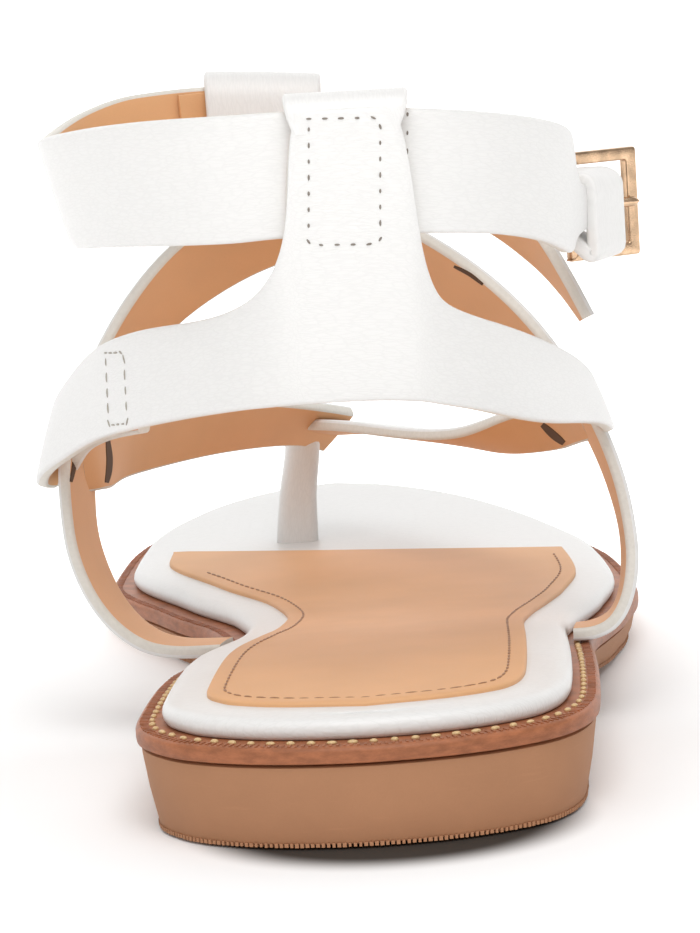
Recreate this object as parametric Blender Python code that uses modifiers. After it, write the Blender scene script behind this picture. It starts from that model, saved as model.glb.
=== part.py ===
"""Ankle strap sandal for the right foot: rubber sole, welt, footbed, straps and an open buckle.

Tables are in millimetres. x runs to the outer (lateral) side, y runs from the back of the heel
towards the toe and z runs up from the floor. The model's origin is the centre of the heel's rest.
"""

import math
from collections import namedtuple

import bmesh
import bpy
import numpy as np
from mathutils import Matrix, Vector

MM = 0.001

# Driving sizes in millimetres
FOOTBED_LENGTH = 240.0
HEEL_REST_CENTRE = 33.0
GAP = 0.3
WELT_MARGIN = 4.0
WELT_THICKNESS = 2.8
FOOTBED_THICKNESS = 3.0
FOOTBED_ROUND = 1.6
SOCK_THICKNESS = 0.8
OUTSOLE_INSET = 0.6
HEEL_UNDERCUT = 2.0
FOREFOOT_UNDERCUT = 1.6
HEEL_BREAST = 68.0
LEATHER = 2.0
OUTSOLE_EDGE = 1.0
HEEL_FADE = 28.0
TOP_EASE_RUN = 9.0
WELT_TRIM = 0.5
FOOTBED_TUCK = 0.6
FOOTBED_SHOULDER_IN = 0.5
FOOTBED_SHOULDER_DOWN = 0.8

# Counts of steps in the faceted shapes
OUTLINE_STEPS = 44
TOP_EASE_SAMPLES = 7
STRAP_STEPS = 3
STIFF_STRAP_STEPS = 2
STRAP_ACROSS = 3
HEEL_STRAP_ACROSS = 4
BAR_SIDES = 12
EYE_SIDES = 16
TONGUE_SIDES = 10

# Buckle sizes in millimetres
BAR_RADIUS = 0.9
BAR_INSET = 0.5
BUCKLE_AXIS = (35.0, 57.9)
BUCKLE_FLOOR = 74.5
BUCKLE_HEIGHT = 16.4
BUCKLE_REACH = 11.0
BUCKLE_WIRE = 1.9
BUCKLE_TURN = math.radians(58.0)
PRONG_RADIUS = 0.75
PRONG_EYE = 2.0
PRONG_HEIGHT = 2.2
PRONG_LAP = 0.5

# Outline of the footbed: distance from the heel back, inner side and outer side
Width = namedtuple("Width", "y medial lateral")
FOOTBED_OUTLINE = [
    Width(0.0, 0.0, 0.0),
    Width(4.6, -19.2, 19.6),
    Width(10.0, -25.6, 26.0),
    Width(21.0, -29.3, 29.8),
    Width(50.0, -27.2, 31.2),
    Width(72.0, -22.9, 31.6),
    Width(88.0, -20.4, 33.2),
    Width(104.0, -19.4, 36.2),
    Width(122.0, -22.0, 40.0),
    Width(145.0, -31.8, 43.2),
    Width(175.0, -42.3, 41.0),
    Width(200.0, -40.6, 33.6),
    Width(222.0, -32.4, 21.6),
    Width(235.0, -20.4, 7.8),
    Width(240.0, -6.0, -6.0),
]

# Side profile: top of the outsole and its underside, along the length
Profile = namedtuple("Profile", "y top under")
SOLE_PROFILE = [
    Profile(-5.0, 12.4, 0.0),
    Profile(40.0, 12.4, 0.0),
    Profile(HEEL_BREAST - 3.0, 11.2, 0.0),
    Profile(HEEL_BREAST + 3.0, 10.4, 4.6),
    Profile(90.0, 8.3, 3.6),
    Profile(112.0, 6.4, 1.2),
    Profile(132.0, 5.6, 0.0),
    Profile(190.0, 5.6, 0.0),
    Profile(215.0, 6.9, 1.1),
    Profile(245.0, 9.8, 3.6),
]

# A strap is a strip between two edges: one row for each place along it, edge a and edge b
Edges = namedtuple("Edges", "ax ay az bx by bz")

# Ankle strap, lower edge then upper edge, from the fold at the buckle round the heel to the free end
ANKLE_STRAP = [
    Edges(32.3, 56.0, 80.2, 32.3, 56.0, 87.2),
    Edges(32.5, 57.7, 80.2, 32.5, 57.7, 87.2),
    Edges(33.2, 59.7, 80.2, 33.2, 59.7, 87.2),
    Edges(35.0, 60.4, 80.2, 35.0, 60.4, 87.2),
    Edges(36.8, 59.7, 80.2, 36.8, 59.7, 87.2),
    Edges(37.5, 57.7, 80.2, 37.5, 57.7, 87.2),
    Edges(36.7, 52.4, 80.2, 36.8, 52.4, 87.2),
    Edges(35.6, 44.8, 80.2, 35.8, 44.8, 87.2),
    Edges(34.3, 41.0, 79.6, 34.7, 41.0, 89.4),
    Edges(33.3, 38.2, 77.8, 34.0, 38.2, 95.4),
    Edges(32.0, 34.0, 78.8, 32.8, 34.0, 96.8),
    Edges(28.6, 26.5, 81.0, 29.4, 26.5, 98.4),
    Edges(20.5, 15.0, 83.5, 21.0, 15.0, 100.6),
    Edges(11.0, 9.2, 84.6, 11.0, 9.2, 102.0),
    Edges(0.0, 8.25, 85.0, 0.0, 8.25, 102.5),
    Edges(-7.0, 8.65, 85.0, -7.0, 8.65, 102.5),
    Edges(-14.0, 11.3, 84.5, -14.5, 11.3, 102.3),
    Edges(-23.0, 18.5, 84.0, -24.0, 18.5, 101.8),
    Edges(-31.5, 30.0, 83.3, -33.3, 30.0, 100.7),
    Edges(-38.5, 48.0, 82.0, -42.5, 48.0, 98.5),
    Edges(-40.0, 62.0, 82.5, -44.0, 62.0, 98.5),
    Edges(-36.5, 76.0, 84.0, -40.0, 76.5, 100.0),
    Edges(-29.0, 85.5, 84.4, -31.5, 86.0, 101.0),
    Edges(-20.0, 90.0, 84.6, -21.0, 90.3, 101.4),
    Edges(-10.0, 91.6, 84.6, -10.0, 91.6, 101.4),
    Edges(-1.0, 90.6, 83.6, 0.0, 90.0, 99.8),
    Edges(9.0, 88.0, 81.8, 11.5, 84.0, 95.0),
    Edges(20.6, 84.0, 79.2, 22.6, 74.0, 88.0),
    Edges(29.8, 78.0, 73.0, 30.6, 66.0, 78.4),
    Edges(34.0, 72.0, 68.6, 34.4, 61.0, 71.4),
    Edges(36.7, 66.0, 64.8, 36.9, 57.5, 66.0),
]

# Heel strap with its flare and stem, lower edge then upper edge, from the inner fold on the medial
# side round the heel to the inner fold on the lateral side
HEEL_STRAP = [
    Edges(-32.0, 65.0, 51.2, -30.6, 63.0, 62.0),
    Edges(-37.6, 75.4, 49.2, -35.8, 74.4, 59.6),
    Edges(-43.0, 86.6, 46.0, -40.8, 86.8, 54.8),
    Edges(-46.2, 94.0, 41.2, -42.8, 94.0, 52.0),
    Edges(-48.6, 96.6, 38.9, -45.2, 96.6, 51.2),
    Edges(-50.8, 93.0, 39.6, -47.4, 93.0, 51.2),
    Edges(-49.8, 86.0, 42.2, -46.2, 86.0, 54.4),
    Edges(-45.2, 74.0, 46.4, -42.0, 72.0, 60.4),
    Edges(-38.6, 59.0, 51.4, -36.6, 55.0, 66.4),
    Edges(-30.5, 39.0, 55.6, -28.6, 37.0, 70.4),
    Edges(-20.5, 21.0, 59.2, -19.4, 22.0, 72.8),
    Edges(-14.0, 12.6, 60.8, -13.2, 13.0, 75.6),
    Edges(-9.6, 8.8, 61.5, -9.4, 8.0, 79.4),
    Edges(-7.0, 7.4, 61.8, -7.0, 6.1, 85.0),
    Edges(-5.2, 6.8, 61.9, -5.0, 5.7, 102.8),
    Edges(2.4, 6.2, 62.0, 2.4, 5.6, 102.8),
    Edges(9.6, 7.2, 61.4, 9.6, 5.8, 102.8),
    Edges(11.2, 8.2, 61.0, 11.2, 7.2, 83.2),
    Edges(13.6, 10.2, 60.2, 13.2, 9.4, 75.6),
    Edges(18.2, 15.0, 58.6, 17.4, 15.2, 72.3),
    Edges(24.0, 24.0, 55.8, 22.8, 24.6, 69.2),
    Edges(30.0, 40.0, 52.5, 28.0, 37.6, 65.5),
    Edges(35.2, 58.0, 49.8, 33.0, 52.6, 61.2),
    Edges(39.2, 74.0, 47.0, 36.4, 70.4, 56.2),
    Edges(40.8, 86.0, 44.2, 37.6, 84.2, 53.0),
    Edges(39.0, 91.0, 44.4, 35.8, 90.2, 52.8),
    Edges(36.0, 89.0, 46.4, 33.0, 88.0, 53.6),
    Edges(34.6, 78.0, 48.4, 31.4, 76.0, 56.2),
    Edges(31.6, 66.0, 50.4, 28.8, 64.0, 58.8),
]

# Inner layer of the heel tab, folded over the ankle strap: medial edge then lateral edge
HEEL_TAB = [
    Edges(-5.2, 5.6, 99.0, 9.9, 5.8, 99.0),
    Edges(-5.2, 5.6, 102.6, 9.9, 5.8, 102.6),
    Edges(-5.0, 8.2, 104.2, 9.7, 8.6, 104.2),
    Edges(-5.0, 10.7, 102.6, 9.7, 11.4, 102.6),
    Edges(-5.0, 10.7, 92.0, 9.7, 11.4, 92.0),
    Edges(-5.0, 10.6, 84.0, 9.7, 11.2, 84.0),
    Edges(-5.6, 8.0, 79.5, 10.2, 8.6, 79.5),
    Edges(-5.6, 6.8, 76.0, 10.2, 7.4, 76.0),
]

# Side straps from the sole up to the junction, back edge then front edge
MEDIAL_SIDE = [
    Edges(-23.1, 78.4, 13.9, -21.5, 92.0, 12.5),
    Edges(-28.4, 78.4, 13.9, -26.8, 92.6, 12.5),
    Edges(-34.0, 79.0, 14.6, -32.4, 93.4, 13.4),
    Edges(-40.0, 81.0, 18.4, -38.2, 95.6, 17.8),
    Edges(-44.4, 84.0, 24.8, -42.0, 98.6, 24.8),
    Edges(-46.6, 87.0, 32.4, -43.8, 101.8, 32.6),
    Edges(-47.0, 89.5, 41.0, -43.6, 104.5, 41.0),
    Edges(-45.0, 91.0, 50.0, -40.6, 106.0, 49.0),
]
LATERAL_SIDE = [
    Edges(32.5, 68.4, 15.1, 33.7, 82.0, 13.6),
    Edges(35.0, 68.6, 15.1, 35.6, 82.6, 13.6),
    Edges(38.6, 70.0, 16.0, 39.6, 84.0, 14.8),
    Edges(41.8, 74.0, 20.2, 42.2, 88.0, 19.4),
    Edges(43.0, 78.6, 26.4, 42.8, 92.6, 26.0),
    Edges(42.4, 82.0, 33.6, 41.4, 96.4, 33.6),
    Edges(40.4, 84.0, 41.6, 38.4, 98.8, 41.6),
    Edges(36.8, 85.0, 50.0, 34.4, 100.2, 48.6),
]

# Branches from the junctions to the front of the ankle, upper edge then lower edge
MEDIAL_BRANCH = [
    Edges(-47.0, 89.4, 42.0, -43.4, 104.6, 43.0),
    Edges(-44.6, 90.4, 51.0, -39.8, 106.4, 50.0),
    Edges(-40.0, 92.0, 61.0, -34.8, 107.0, 57.0),
    Edges(-34.0, 95.4, 70.0, -28.2, 108.4, 63.4),
    Edges(-26.4, 100.4, 77.4, -20.0, 111.4, 68.2),
    Edges(-17.0, 105.0, 82.0, -11.6, 114.6, 71.4),
    Edges(-8.0, 107.6, 84.4, -4.0, 116.6, 73.2),
]
LATERAL_BRANCH = [
    Edges(40.2, 84.0, 42.4, 38.2, 98.8, 42.4),
    Edges(36.4, 85.0, 51.0, 34.0, 100.2, 50.0),
    Edges(31.0, 88.0, 60.2, 28.8, 103.0, 54.4),
    Edges(24.0, 93.6, 68.0, 22.2, 107.6, 59.0),
    Edges(15.4, 100.4, 74.4, 14.8, 112.6, 63.6),
    Edges(6.0, 105.6, 79.6, 6.6, 116.2, 68.4),
    Edges(-3.0, 108.0, 83.2, -1.0, 117.0, 72.6),
]

# Front stem up to the front tab and over the ankle strap, medial edge then lateral edge
FRONT_STEM = [
    Edges(-12.4, 114.0, 73.2, 3.4, 114.4, 74.0),
    Edges(-14.4, 109.0, 80.4, 1.0, 109.8, 80.8),
    Edges(-17.0, 101.4, 87.6, -1.6, 102.2, 87.6),
    Edges(-18.6, 96.2, 94.4, -2.2, 96.4, 94.2),
    Edges(-19.0, 94.4, 101.0, -2.4, 94.6, 100.8),
    Edges(-19.0, 91.0, 103.6, -2.4, 91.4, 103.2),
    Edges(-19.0, 87.6, 101.6, -2.4, 88.0, 101.2),
    Edges(-19.0, 87.0, 93.0, -2.4, 87.4, 93.0),
    Edges(-18.6, 87.6, 84.0, -2.4, 87.8, 83.8),
    Edges(-17.4, 92.4, 78.6, -2.4, 92.6, 78.6),
    Edges(-16.4, 101.6, 76.8, -1.2, 102.0, 76.8),
    Edges(-14.6, 108.0, 76.0, 0.4, 108.6, 76.0),
]

# Instep arms from the junctions to the toe post, back edge then front edge
MEDIAL_ARM = [
    Edges(-45.6, 91.0, 47.0, -43.8, 102.5, 37.6),
    Edges(-42.6, 105.6, 48.0, -42.8, 108.8, 36.4),
    Edges(-38.6, 119.0, 47.4, -40.6, 122.0, 36.0),
    Edges(-32.0, 134.0, 46.4, -35.2, 138.6, 35.2),
    Edges(-23.4, 150.0, 44.6, -27.0, 156.6, 34.4),
    Edges(-14.6, 165.0, 42.0, -18.0, 173.4, 33.0),
    Edges(-5.4, 179.0, 38.6, -11.0, 187.4, 31.0),
    Edges(-1.0, 185.0, 36.8, -7.4, 193.4, 29.0),
]
LATERAL_ARM = [
    Edges(37.4, 87.0, 49.6, 38.8, 97.4, 42.0),
    Edges(36.2, 101.0, 47.8, 38.2, 105.6, 40.0),
    Edges(31.8, 114.0, 45.4, 35.6, 119.4, 37.4),
    Edges(25.2, 127.0, 42.4, 31.2, 134.4, 35.0),
    Edges(16.6, 141.0, 37.6, 24.4, 150.4, 33.2),
    Edges(6.8, 156.0, 36.2, 14.8, 166.4, 33.8),
    Edges(-3.0, 171.0, 36.0, 3.6, 181.4, 33.6),
    Edges(-12.0, 184.0, 35.0, -6.6, 193.6, 32.0),
]

# Toe post down through the footbed, medial edge then lateral edge
TOE_POST = [
    Edges(-14.4, 187.6, 35.6, -6.8, 188.0, 35.8),
    Edges(-15.0, 189.6, 28.6, -7.6, 190.0, 28.6),
    Edges(-15.8, 191.0, 20.0, -8.6, 191.4, 20.0),
    Edges(-16.2, 191.6, 9.4, -9.2, 192.0, 9.4),
]
TOE_POST_THICKNESS = 4.4

# Keeper loop beside the buckle, a ring of leather round the strap
KEEPER_LOW = (32.8, 45.0, 78.5)
KEEPER_HIGH = (38.4, 55.4, 88.9)
KEEPER_FLARE = 4.8
KEEPER_DROP = 2.6
KEEPER_WALL = 1.4

# Tan sock on the footbed
SOCK_INSET = 6.6
SOCK_BACK = 7.5
SOCK_FRONT_MEDIAL = 184.5
SOCK_FRONT_LATERAL = 166.0
SOCK_BULGE = 1.6
SOCK_STEPS = 22
SOCK_FRONT_STEPS = 6

# Slot in the footbed for the toe post, and slot in the strap's fold for the prong
POST_SLOT_CENTRE = (-12.7, 191.8, 10.0)
POST_SLOT_SIZE = (8.0, 5.4, 14.0)
PRONG_SLOT_SIZE = (9.0, 7.2, 3.2)


def clear_scene():
    for item in list(bpy.data.objects):
        bpy.data.objects.remove(item, do_unlink=True)


def make_collection(name):
    group = bpy.data.collections.new(name)
    bpy.context.scene.collection.children.link(group)
    return group


def make_material(name, colour, roughness, metallic=0.0):
    material = bpy.data.materials.new(name)
    material.use_nodes = True
    shader = material.node_tree.nodes["Principled BSDF"]
    shader.inputs["Base Color"].default_value = (*colour, 1.0)
    shader.inputs["Roughness"].default_value = roughness
    shader.inputs["Metallic"].default_value = metallic
    return material


def place(x, y, z):
    """A place in the tables' millimetres as a vector in the model's metres."""
    return Vector((x, y - HEEL_REST_CENTRE, z)) * MM


def smooth_rows(rows, per_span):
    """Reads a table at even steps within each span, along a smooth curve through its rows."""
    table = np.array([tuple(row) for row in rows], dtype=float)
    steps = np.linalg.norm(np.diff(table, axis=0), axis=1)
    knots = np.concatenate([[0.0], np.cumsum(np.sqrt(steps))])
    chord = np.diff(table, axis=0) / np.diff(knots)[:, None]
    before, after = chord[:-1], chord[1:]
    turns = before * after <= 0
    total = np.where(turns, 1.0, before + after)
    slopes = np.vstack([chord[:1], np.where(turns, 0.0, 2 * before * after / total), chord[-1:]])
    count = per_span * (len(knots) - 1)
    spans = np.minimum(np.arange(count + 1) // per_span, len(knots) - 2)
    width = (knots[spans + 1] - knots[spans])[:, None]
    t = ((np.arange(count + 1) - spans * per_span) / per_span)[:, None]
    start = (2 * t**3 - 3 * t**2 + 1) * table[spans] + (t**3 - 2 * t**2 + t) * width * slopes[spans]
    end = (3 * t**2 - 2 * t**3) * table[spans + 1] + (t**3 - t**2) * width * slopes[spans + 1]
    return start + end


def profile_at(y, column):
    """Height of the outsole's top or underside at a distance from the heel back."""
    places = [row.y for row in SOLE_PROFILE]
    heights = [getattr(row, column) for row in SOLE_PROFILE]
    return float(np.interp(y, places, heights))


def top_at(y):
    """The top of the outsole, eased over a short run so that the waist has no kinks."""
    run = np.linspace(-TOP_EASE_RUN, TOP_EASE_RUN, TOP_EASE_SAMPLES)
    return float(np.mean([profile_at(y + step, "top") for step in run]))


def footbed_outline():
    """The footbed's outline in plan, anticlockwise from the heel back along the lateral side."""
    table = np.array([tuple(row) for row in FOOTBED_OUTLINE], dtype=float)
    angle = np.arccos(1 - 2 * table[:, 0] / FOOTBED_LENGTH)
    fine = np.linspace(0.0, math.pi, OUTLINE_STEPS + 1)
    rows = np.column_stack([angle, table[:, 1:]])
    curve = smooth_rows(rows, OUTLINE_STEPS)
    medial = np.interp(fine, curve[:, 0], curve[:, 1])
    lateral = np.interp(fine, curve[:, 0], curve[:, 2])
    along = FOOTBED_LENGTH * (1 - np.cos(fine)) / 2
    outer = np.column_stack([lateral, along])
    inner = np.column_stack([medial, along])
    return np.vstack([outer, inner[-2:0:-1]])


def offset_outline(points, distance):
    """Moves a closed outline outwards by a distance, or inwards where it is negative."""
    ahead = np.roll(points, -1, axis=0) - np.roll(points, 1, axis=0)
    length = np.linalg.norm(ahead, axis=1, keepdims=True)
    normal = np.column_stack([ahead[:, 1], -ahead[:, 0]]) / length
    shift = np.asarray(distance, dtype=float)
    return points + normal * (shift[:, None] if shift.ndim else shift)


def new_object(name, mesh, group, material):
    item = bpy.data.objects.new(name, mesh)
    group.objects.link(item)
    if material:
        mesh.materials.append(material)
    return item


def layered_solid(name, layers, group, material):
    """A closed solid through stacked rings of the same count, its ends closed by bands across."""
    mesh = bpy.data.meshes.new(name)
    build = bmesh.new()
    rings = [[build.verts.new(place(*point)) for point in layer] for layer in layers]
    count = len(rings[0])
    for low, high in zip(rings, rings[1:]):
        for i in range(count):
            j = (i + 1) % count
            build.faces.new((low[i], low[j], high[j], high[i]))
    half = count // 2
    for ring, flip in ((rings[0], True), (rings[-1], False)):
        for i in range(half):
            corners = [ring[i], ring[i + 1], ring[-i - 1], ring[-i]] if i else [ring[0], ring[1], ring[-1]]
            if i == half - 1:
                corners = [ring[i], ring[i + 1], ring[-i]]
            build.faces.new(corners[::-1] if flip else corners)
    bmesh.ops.recalc_face_normals(build, faces=build.faces)
    build.to_mesh(mesh)
    build.free()
    return new_object(name, mesh, group, material)


def ring_at(outline, height):
    """Lifts a plan outline to the height that a function gives at each point."""
    return [(x, y, height(y)) for x, y in outline]


def make_outsole(outline, group, material):
    top = offset_outline(outline, WELT_MARGIN - OUTSOLE_INSET)
    heel_part = np.clip((HEEL_BREAST - outline[:, 1]) / HEEL_FADE + 0.5, 0, 1)
    tuck = FOREFOOT_UNDERCUT + (HEEL_UNDERCUT - FOREFOOT_UNDERCUT) * heel_part
    under = offset_outline(outline, WELT_MARGIN - OUTSOLE_INSET - tuck)
    layers = [
        ring_at(under, lambda y: profile_at(y, "under")),
        ring_at(top, lambda y: top_at(y) - OUTSOLE_EDGE),
        ring_at(top, top_at),
    ]
    return layered_solid("outsole", layers, group, material)


def make_welt(outline, group, material):
    full = offset_outline(outline, WELT_MARGIN)
    trimmed = offset_outline(outline, WELT_MARGIN - WELT_TRIM)
    layers = [
        ring_at(full, lambda y: top_at(y) + GAP),
        ring_at(full, lambda y: welt_top(y) - WELT_TRIM),
        ring_at(trimmed, welt_top),
    ]
    return layered_solid("welt", layers, group, material)


def welt_top(y):
    return top_at(y) + WELT_THICKNESS


def footbed_top(y):
    return welt_top(y) + GAP + FOOTBED_THICKNESS


def make_footbed(outline, group, material):
    shoulder = offset_outline(outline, -FOOTBED_SHOULDER_IN)
    layers = [
        ring_at(offset_outline(outline, -FOOTBED_TUCK), lambda y: welt_top(y) + GAP),
        ring_at(outline, lambda y: footbed_top(y) - FOOTBED_ROUND),
        ring_at(shoulder, lambda y: footbed_top(y) - FOOTBED_SHOULDER_DOWN),
        ring_at(offset_outline(outline, -FOOTBED_ROUND), footbed_top),
    ]
    return layered_solid("footbed", layers, group, material)


def strip_surface(name, rows, per_span, across, group):
    """An open strip between the two edges of a table, as a grid moved onto it."""
    mesh = bpy.data.meshes.new(name)
    build = bmesh.new()
    curve = smooth_rows(rows, per_span)
    along = len(curve) - 1
    bmesh.ops.create_grid(build, x_segments=across, y_segments=along, size=0.5)
    for vertex in build.verts:
        share = vertex.co.x + 0.5
        edges = curve[round((vertex.co.y + 0.5) * along)]
        point = edges[:3] * (1 - share) + edges[3:] * share
        vertex.co = place(*point)
    build.to_mesh(mesh)
    build.free()
    return new_object(name, mesh, group, None)


def apply_modifiers(item):
    graph = bpy.context.evaluated_depsgraph_get()
    mesh = bpy.data.meshes.new_from_object(item.evaluated_get(graph))
    item.modifiers.clear()
    item.data = mesh


def strap_solid(name, rows, per_span, across, group, thickness=LEATHER):
    """A strap of even thickness, half of it on each side of its strip."""
    item = strip_surface(name, rows, per_span, across, group)
    wall = item.modifiers.new("wall", "SOLIDIFY")
    wall.thickness = thickness * MM
    wall.offset = 0.0
    wall.use_even_offset = True
    apply_modifiers(item)
    build = bmesh.new()
    build.from_mesh(item.data)
    bmesh.ops.recalc_face_normals(build, faces=build.faces)
    build.to_mesh(item.data)
    build.free()
    return item


def combine(item, others, operation):
    """Joins solids to one, or cuts them from it, and removes them."""
    for other in others:
        step = item.modifiers.new(operation.lower(), "BOOLEAN")
        step.operation = operation
        step.solver = "EXACT"
        step.use_self = operation == "UNION"
        step.object = other
        apply_modifiers(item)
        bpy.data.objects.remove(other, do_unlink=True)
    return item


def block(name, centre, size, group):
    """A box by its centre and size in the tables' millimetres."""
    mesh = bpy.data.meshes.new(name)
    build = bmesh.new()
    bmesh.ops.create_cube(build, size=1.0)
    for vertex in build.verts:
        shift = [vertex.co[axis] * size[axis] for axis in range(3)]
        vertex.co = place(*[centre[axis] + shift[axis] for axis in range(3)])
    build.to_mesh(mesh)
    build.free()
    return new_object(name, mesh, group, None)


def cutter(item):
    item.hide_render = True
    item.display_type = "WIRE"
    return item


def make_upper(group, cutters, material):
    """The straps that are joined where they cross."""
    upper = strap_solid("upper", HEEL_STRAP, STRAP_STEPS, HEEL_STRAP_ACROSS, group)
    pieces = [
        ("heel_tab", HEEL_TAB, STRAP_STEPS, LEATHER),
        ("medial_side", MEDIAL_SIDE, STIFF_STRAP_STEPS, LEATHER),
        ("lateral_side", LATERAL_SIDE, STIFF_STRAP_STEPS, LEATHER),
        ("medial_branch", MEDIAL_BRANCH, STRAP_STEPS, LEATHER),
        ("lateral_branch", LATERAL_BRANCH, STRAP_STEPS, LEATHER),
        ("front_stem", FRONT_STEM, STRAP_STEPS, LEATHER),
        ("medial_arm", MEDIAL_ARM, STIFF_STRAP_STEPS, LEATHER),
        ("lateral_arm", LATERAL_ARM, STIFF_STRAP_STEPS, LEATHER),
        ("toe_post", TOE_POST, STIFF_STRAP_STEPS, TOE_POST_THICKNESS),
    ]
    solids = []
    for name, rows, per_span, wall in pieces:
        solids.append(strap_solid(name, rows, per_span, STRAP_ACROSS, cutters, wall))
    combine(upper, solids, "UNION")
    upper.data.materials.clear()
    upper.data.materials.append(material)
    return upper


def make_sock(outline, group, material):
    inner = offset_outline(outline, -SOCK_INSET)
    half = len(inner) // 2
    lateral = inner[: half + 1]
    medial = np.vstack([inner[half:], inner[:1]])[::-1]
    turn = np.linspace(0.0, math.pi / 2, SOCK_STEPS + 1)
    body = SOCK_BACK + (SOCK_FRONT_LATERAL - SOCK_BACK) * (1 - np.cos(turn))
    front = np.linspace(SOCK_FRONT_LATERAL, SOCK_FRONT_MEDIAL, SOCK_FRONT_STEPS + 1)[1:]
    along = np.concatenate([body, front])
    inner_side = np.interp(along, medial[:, 1], medial[:, 0])
    corner = np.interp(SOCK_FRONT_LATERAL, lateral[:, 1], lateral[:, 0])
    outer_side = np.concatenate([
        np.interp(body, lateral[:, 1], lateral[:, 0]),
        np.interp(front, [SOCK_FRONT_LATERAL, SOCK_FRONT_MEDIAL], [corner, inner_side[-1]]),
    ])
    back = [[(outer_side[0] + inner_side[0]) / 2, SOCK_BACK - SOCK_BULGE]]
    outer_edge = np.column_stack([outer_side, along])
    inner_edge = np.column_stack([inner_side, along])
    ring = np.vstack([back, outer_edge, inner_edge[-2::-1]])
    layers = [
        ring_at(ring, lambda y: footbed_top(y) + GAP),
        ring_at(ring, lambda y: footbed_top(y) + GAP + SOCK_THICKNESS),
    ]
    return layered_solid("insole_sock", layers, group, material)


def flared_box(name, low, high, group):
    """A box whose outer wall stands further out at its front than at its back, and hangs lower."""
    centre = [(a + b) / 2 for a, b in zip(low, high)]
    size = [b - a for a, b in zip(low, high)]
    item = block(name, centre, size, group)
    rate = KEEPER_FLARE / (KEEPER_HIGH[1] - KEEPER_LOW[1])
    outer, floor = place(*high).x, place(*low).z
    back = place(*KEEPER_LOW).y
    for vertex in item.data.vertices:
        if abs(vertex.co.x - outer) < MM * GAP:
            vertex.co.x += rate * (vertex.co.y - back)
            if abs(vertex.co.z - floor) < MM * GAP:
                vertex.co.z -= MM * KEEPER_DROP
    return item


def make_keeper(group, cutters, material):
    keeper = flared_box("keeper_loop", KEEPER_LOW, KEEPER_HIGH, group)
    wall = np.array([KEEPER_WALL, -KEEPER_WALL, KEEPER_WALL])
    hole = flared_box("keeper_hole", np.array(KEEPER_LOW) + wall, np.array(KEEPER_HIGH) - wall, cutters)
    combine(keeper, [cutter(hole)], "DIFFERENCE")
    keeper.data.materials.clear()
    keeper.data.materials.append(material)
    return keeper


def upright_cylinder(name, radius, low, high, sides, group):
    mesh = bpy.data.meshes.new(name)
    build = bmesh.new()
    bmesh.ops.create_cone(build, cap_ends=True, segments=sides, radius1=radius * MM,
                          radius2=radius * MM, depth=(high - low) * MM)
    bmesh.ops.translate(build, verts=build.verts, vec=(0.0, 0.0, (low + high) / 2 * MM))
    build.to_mesh(mesh)
    build.free()
    return new_object(name, mesh, group, None)


def local_box(name, low, high, group):
    mesh = bpy.data.meshes.new(name)
    build = bmesh.new()
    bmesh.ops.create_cube(build, size=1.0)
    for vertex in build.verts:
        vertex.co = Vector([(a + (b - a) * (c + 0.5)) * MM for a, b, c in zip(low, high, vertex.co)])
    build.to_mesh(mesh)
    build.free()
    return new_object(name, mesh, group, None)


def set_on_hinge(item, turn):
    """Stands a buckle piece on the hinge axis, its own x axis turned from forward to the outer side."""
    item.location = place(*BUCKLE_AXIS, BUCKLE_FLOOR)
    item.rotation_euler = (0.0, 0.0, math.pi / 2 - turn)


def make_buckle_frame(group, cutters, material):
    half = BUCKLE_WIRE / 2
    frame = local_box("buckle_frame", (-half, -half, 0.0), (BUCKLE_REACH + half, half, BUCKLE_HEIGHT), group)
    window = local_box("buckle_window", (-BUCKLE_WIRE, -BUCKLE_WIRE, BUCKLE_WIRE),
                       (BUCKLE_REACH - half, BUCKLE_WIRE, BUCKLE_HEIGHT - BUCKLE_WIRE), cutters)
    combine(frame, [cutter(window)], "DIFFERENCE")
    bar = upright_cylinder("hinge_bar", BAR_RADIUS, BAR_INSET, BUCKLE_HEIGHT - BAR_INSET, BAR_SIDES, cutters)
    combine(frame, [bar], "UNION")
    frame.data.materials.clear()
    frame.data.materials.append(material)
    set_on_hinge(frame, BUCKLE_TURN)
    return frame


def make_buckle_prong(group, cutters, material):
    middle = BUCKLE_HEIGHT / 2
    prong = upright_cylinder("buckle_prong", PRONG_EYE, middle - PRONG_HEIGHT / 2,
                             middle + PRONG_HEIGHT / 2, EYE_SIDES, group)
    clearance = BUCKLE_WIRE / 2 + PRONG_RADIUS + GAP
    lift = math.atan2(clearance, BUCKLE_REACH)
    length = BUCKLE_REACH + PRONG_LAP
    tongue = upright_cylinder("prong_tongue", PRONG_RADIUS, BAR_RADIUS + GAP, length, TONGUE_SIDES,
                              cutters)
    tongue.data.transform(Matrix.Translation((0.0, 0.0, middle * MM)) @ Matrix.Rotation(math.pi / 2, 4, "Y"))
    combine(prong, [tongue], "UNION")
    eye = upright_cylinder("prong_eye", BAR_RADIUS + GAP, 0.0, BUCKLE_HEIGHT, EYE_SIDES, cutters)
    combine(prong, [cutter(eye)], "DIFFERENCE")
    prong.data.materials.clear()
    prong.data.materials.append(material)
    set_on_hinge(prong, BUCKLE_TURN + lift)
    return prong


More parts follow.
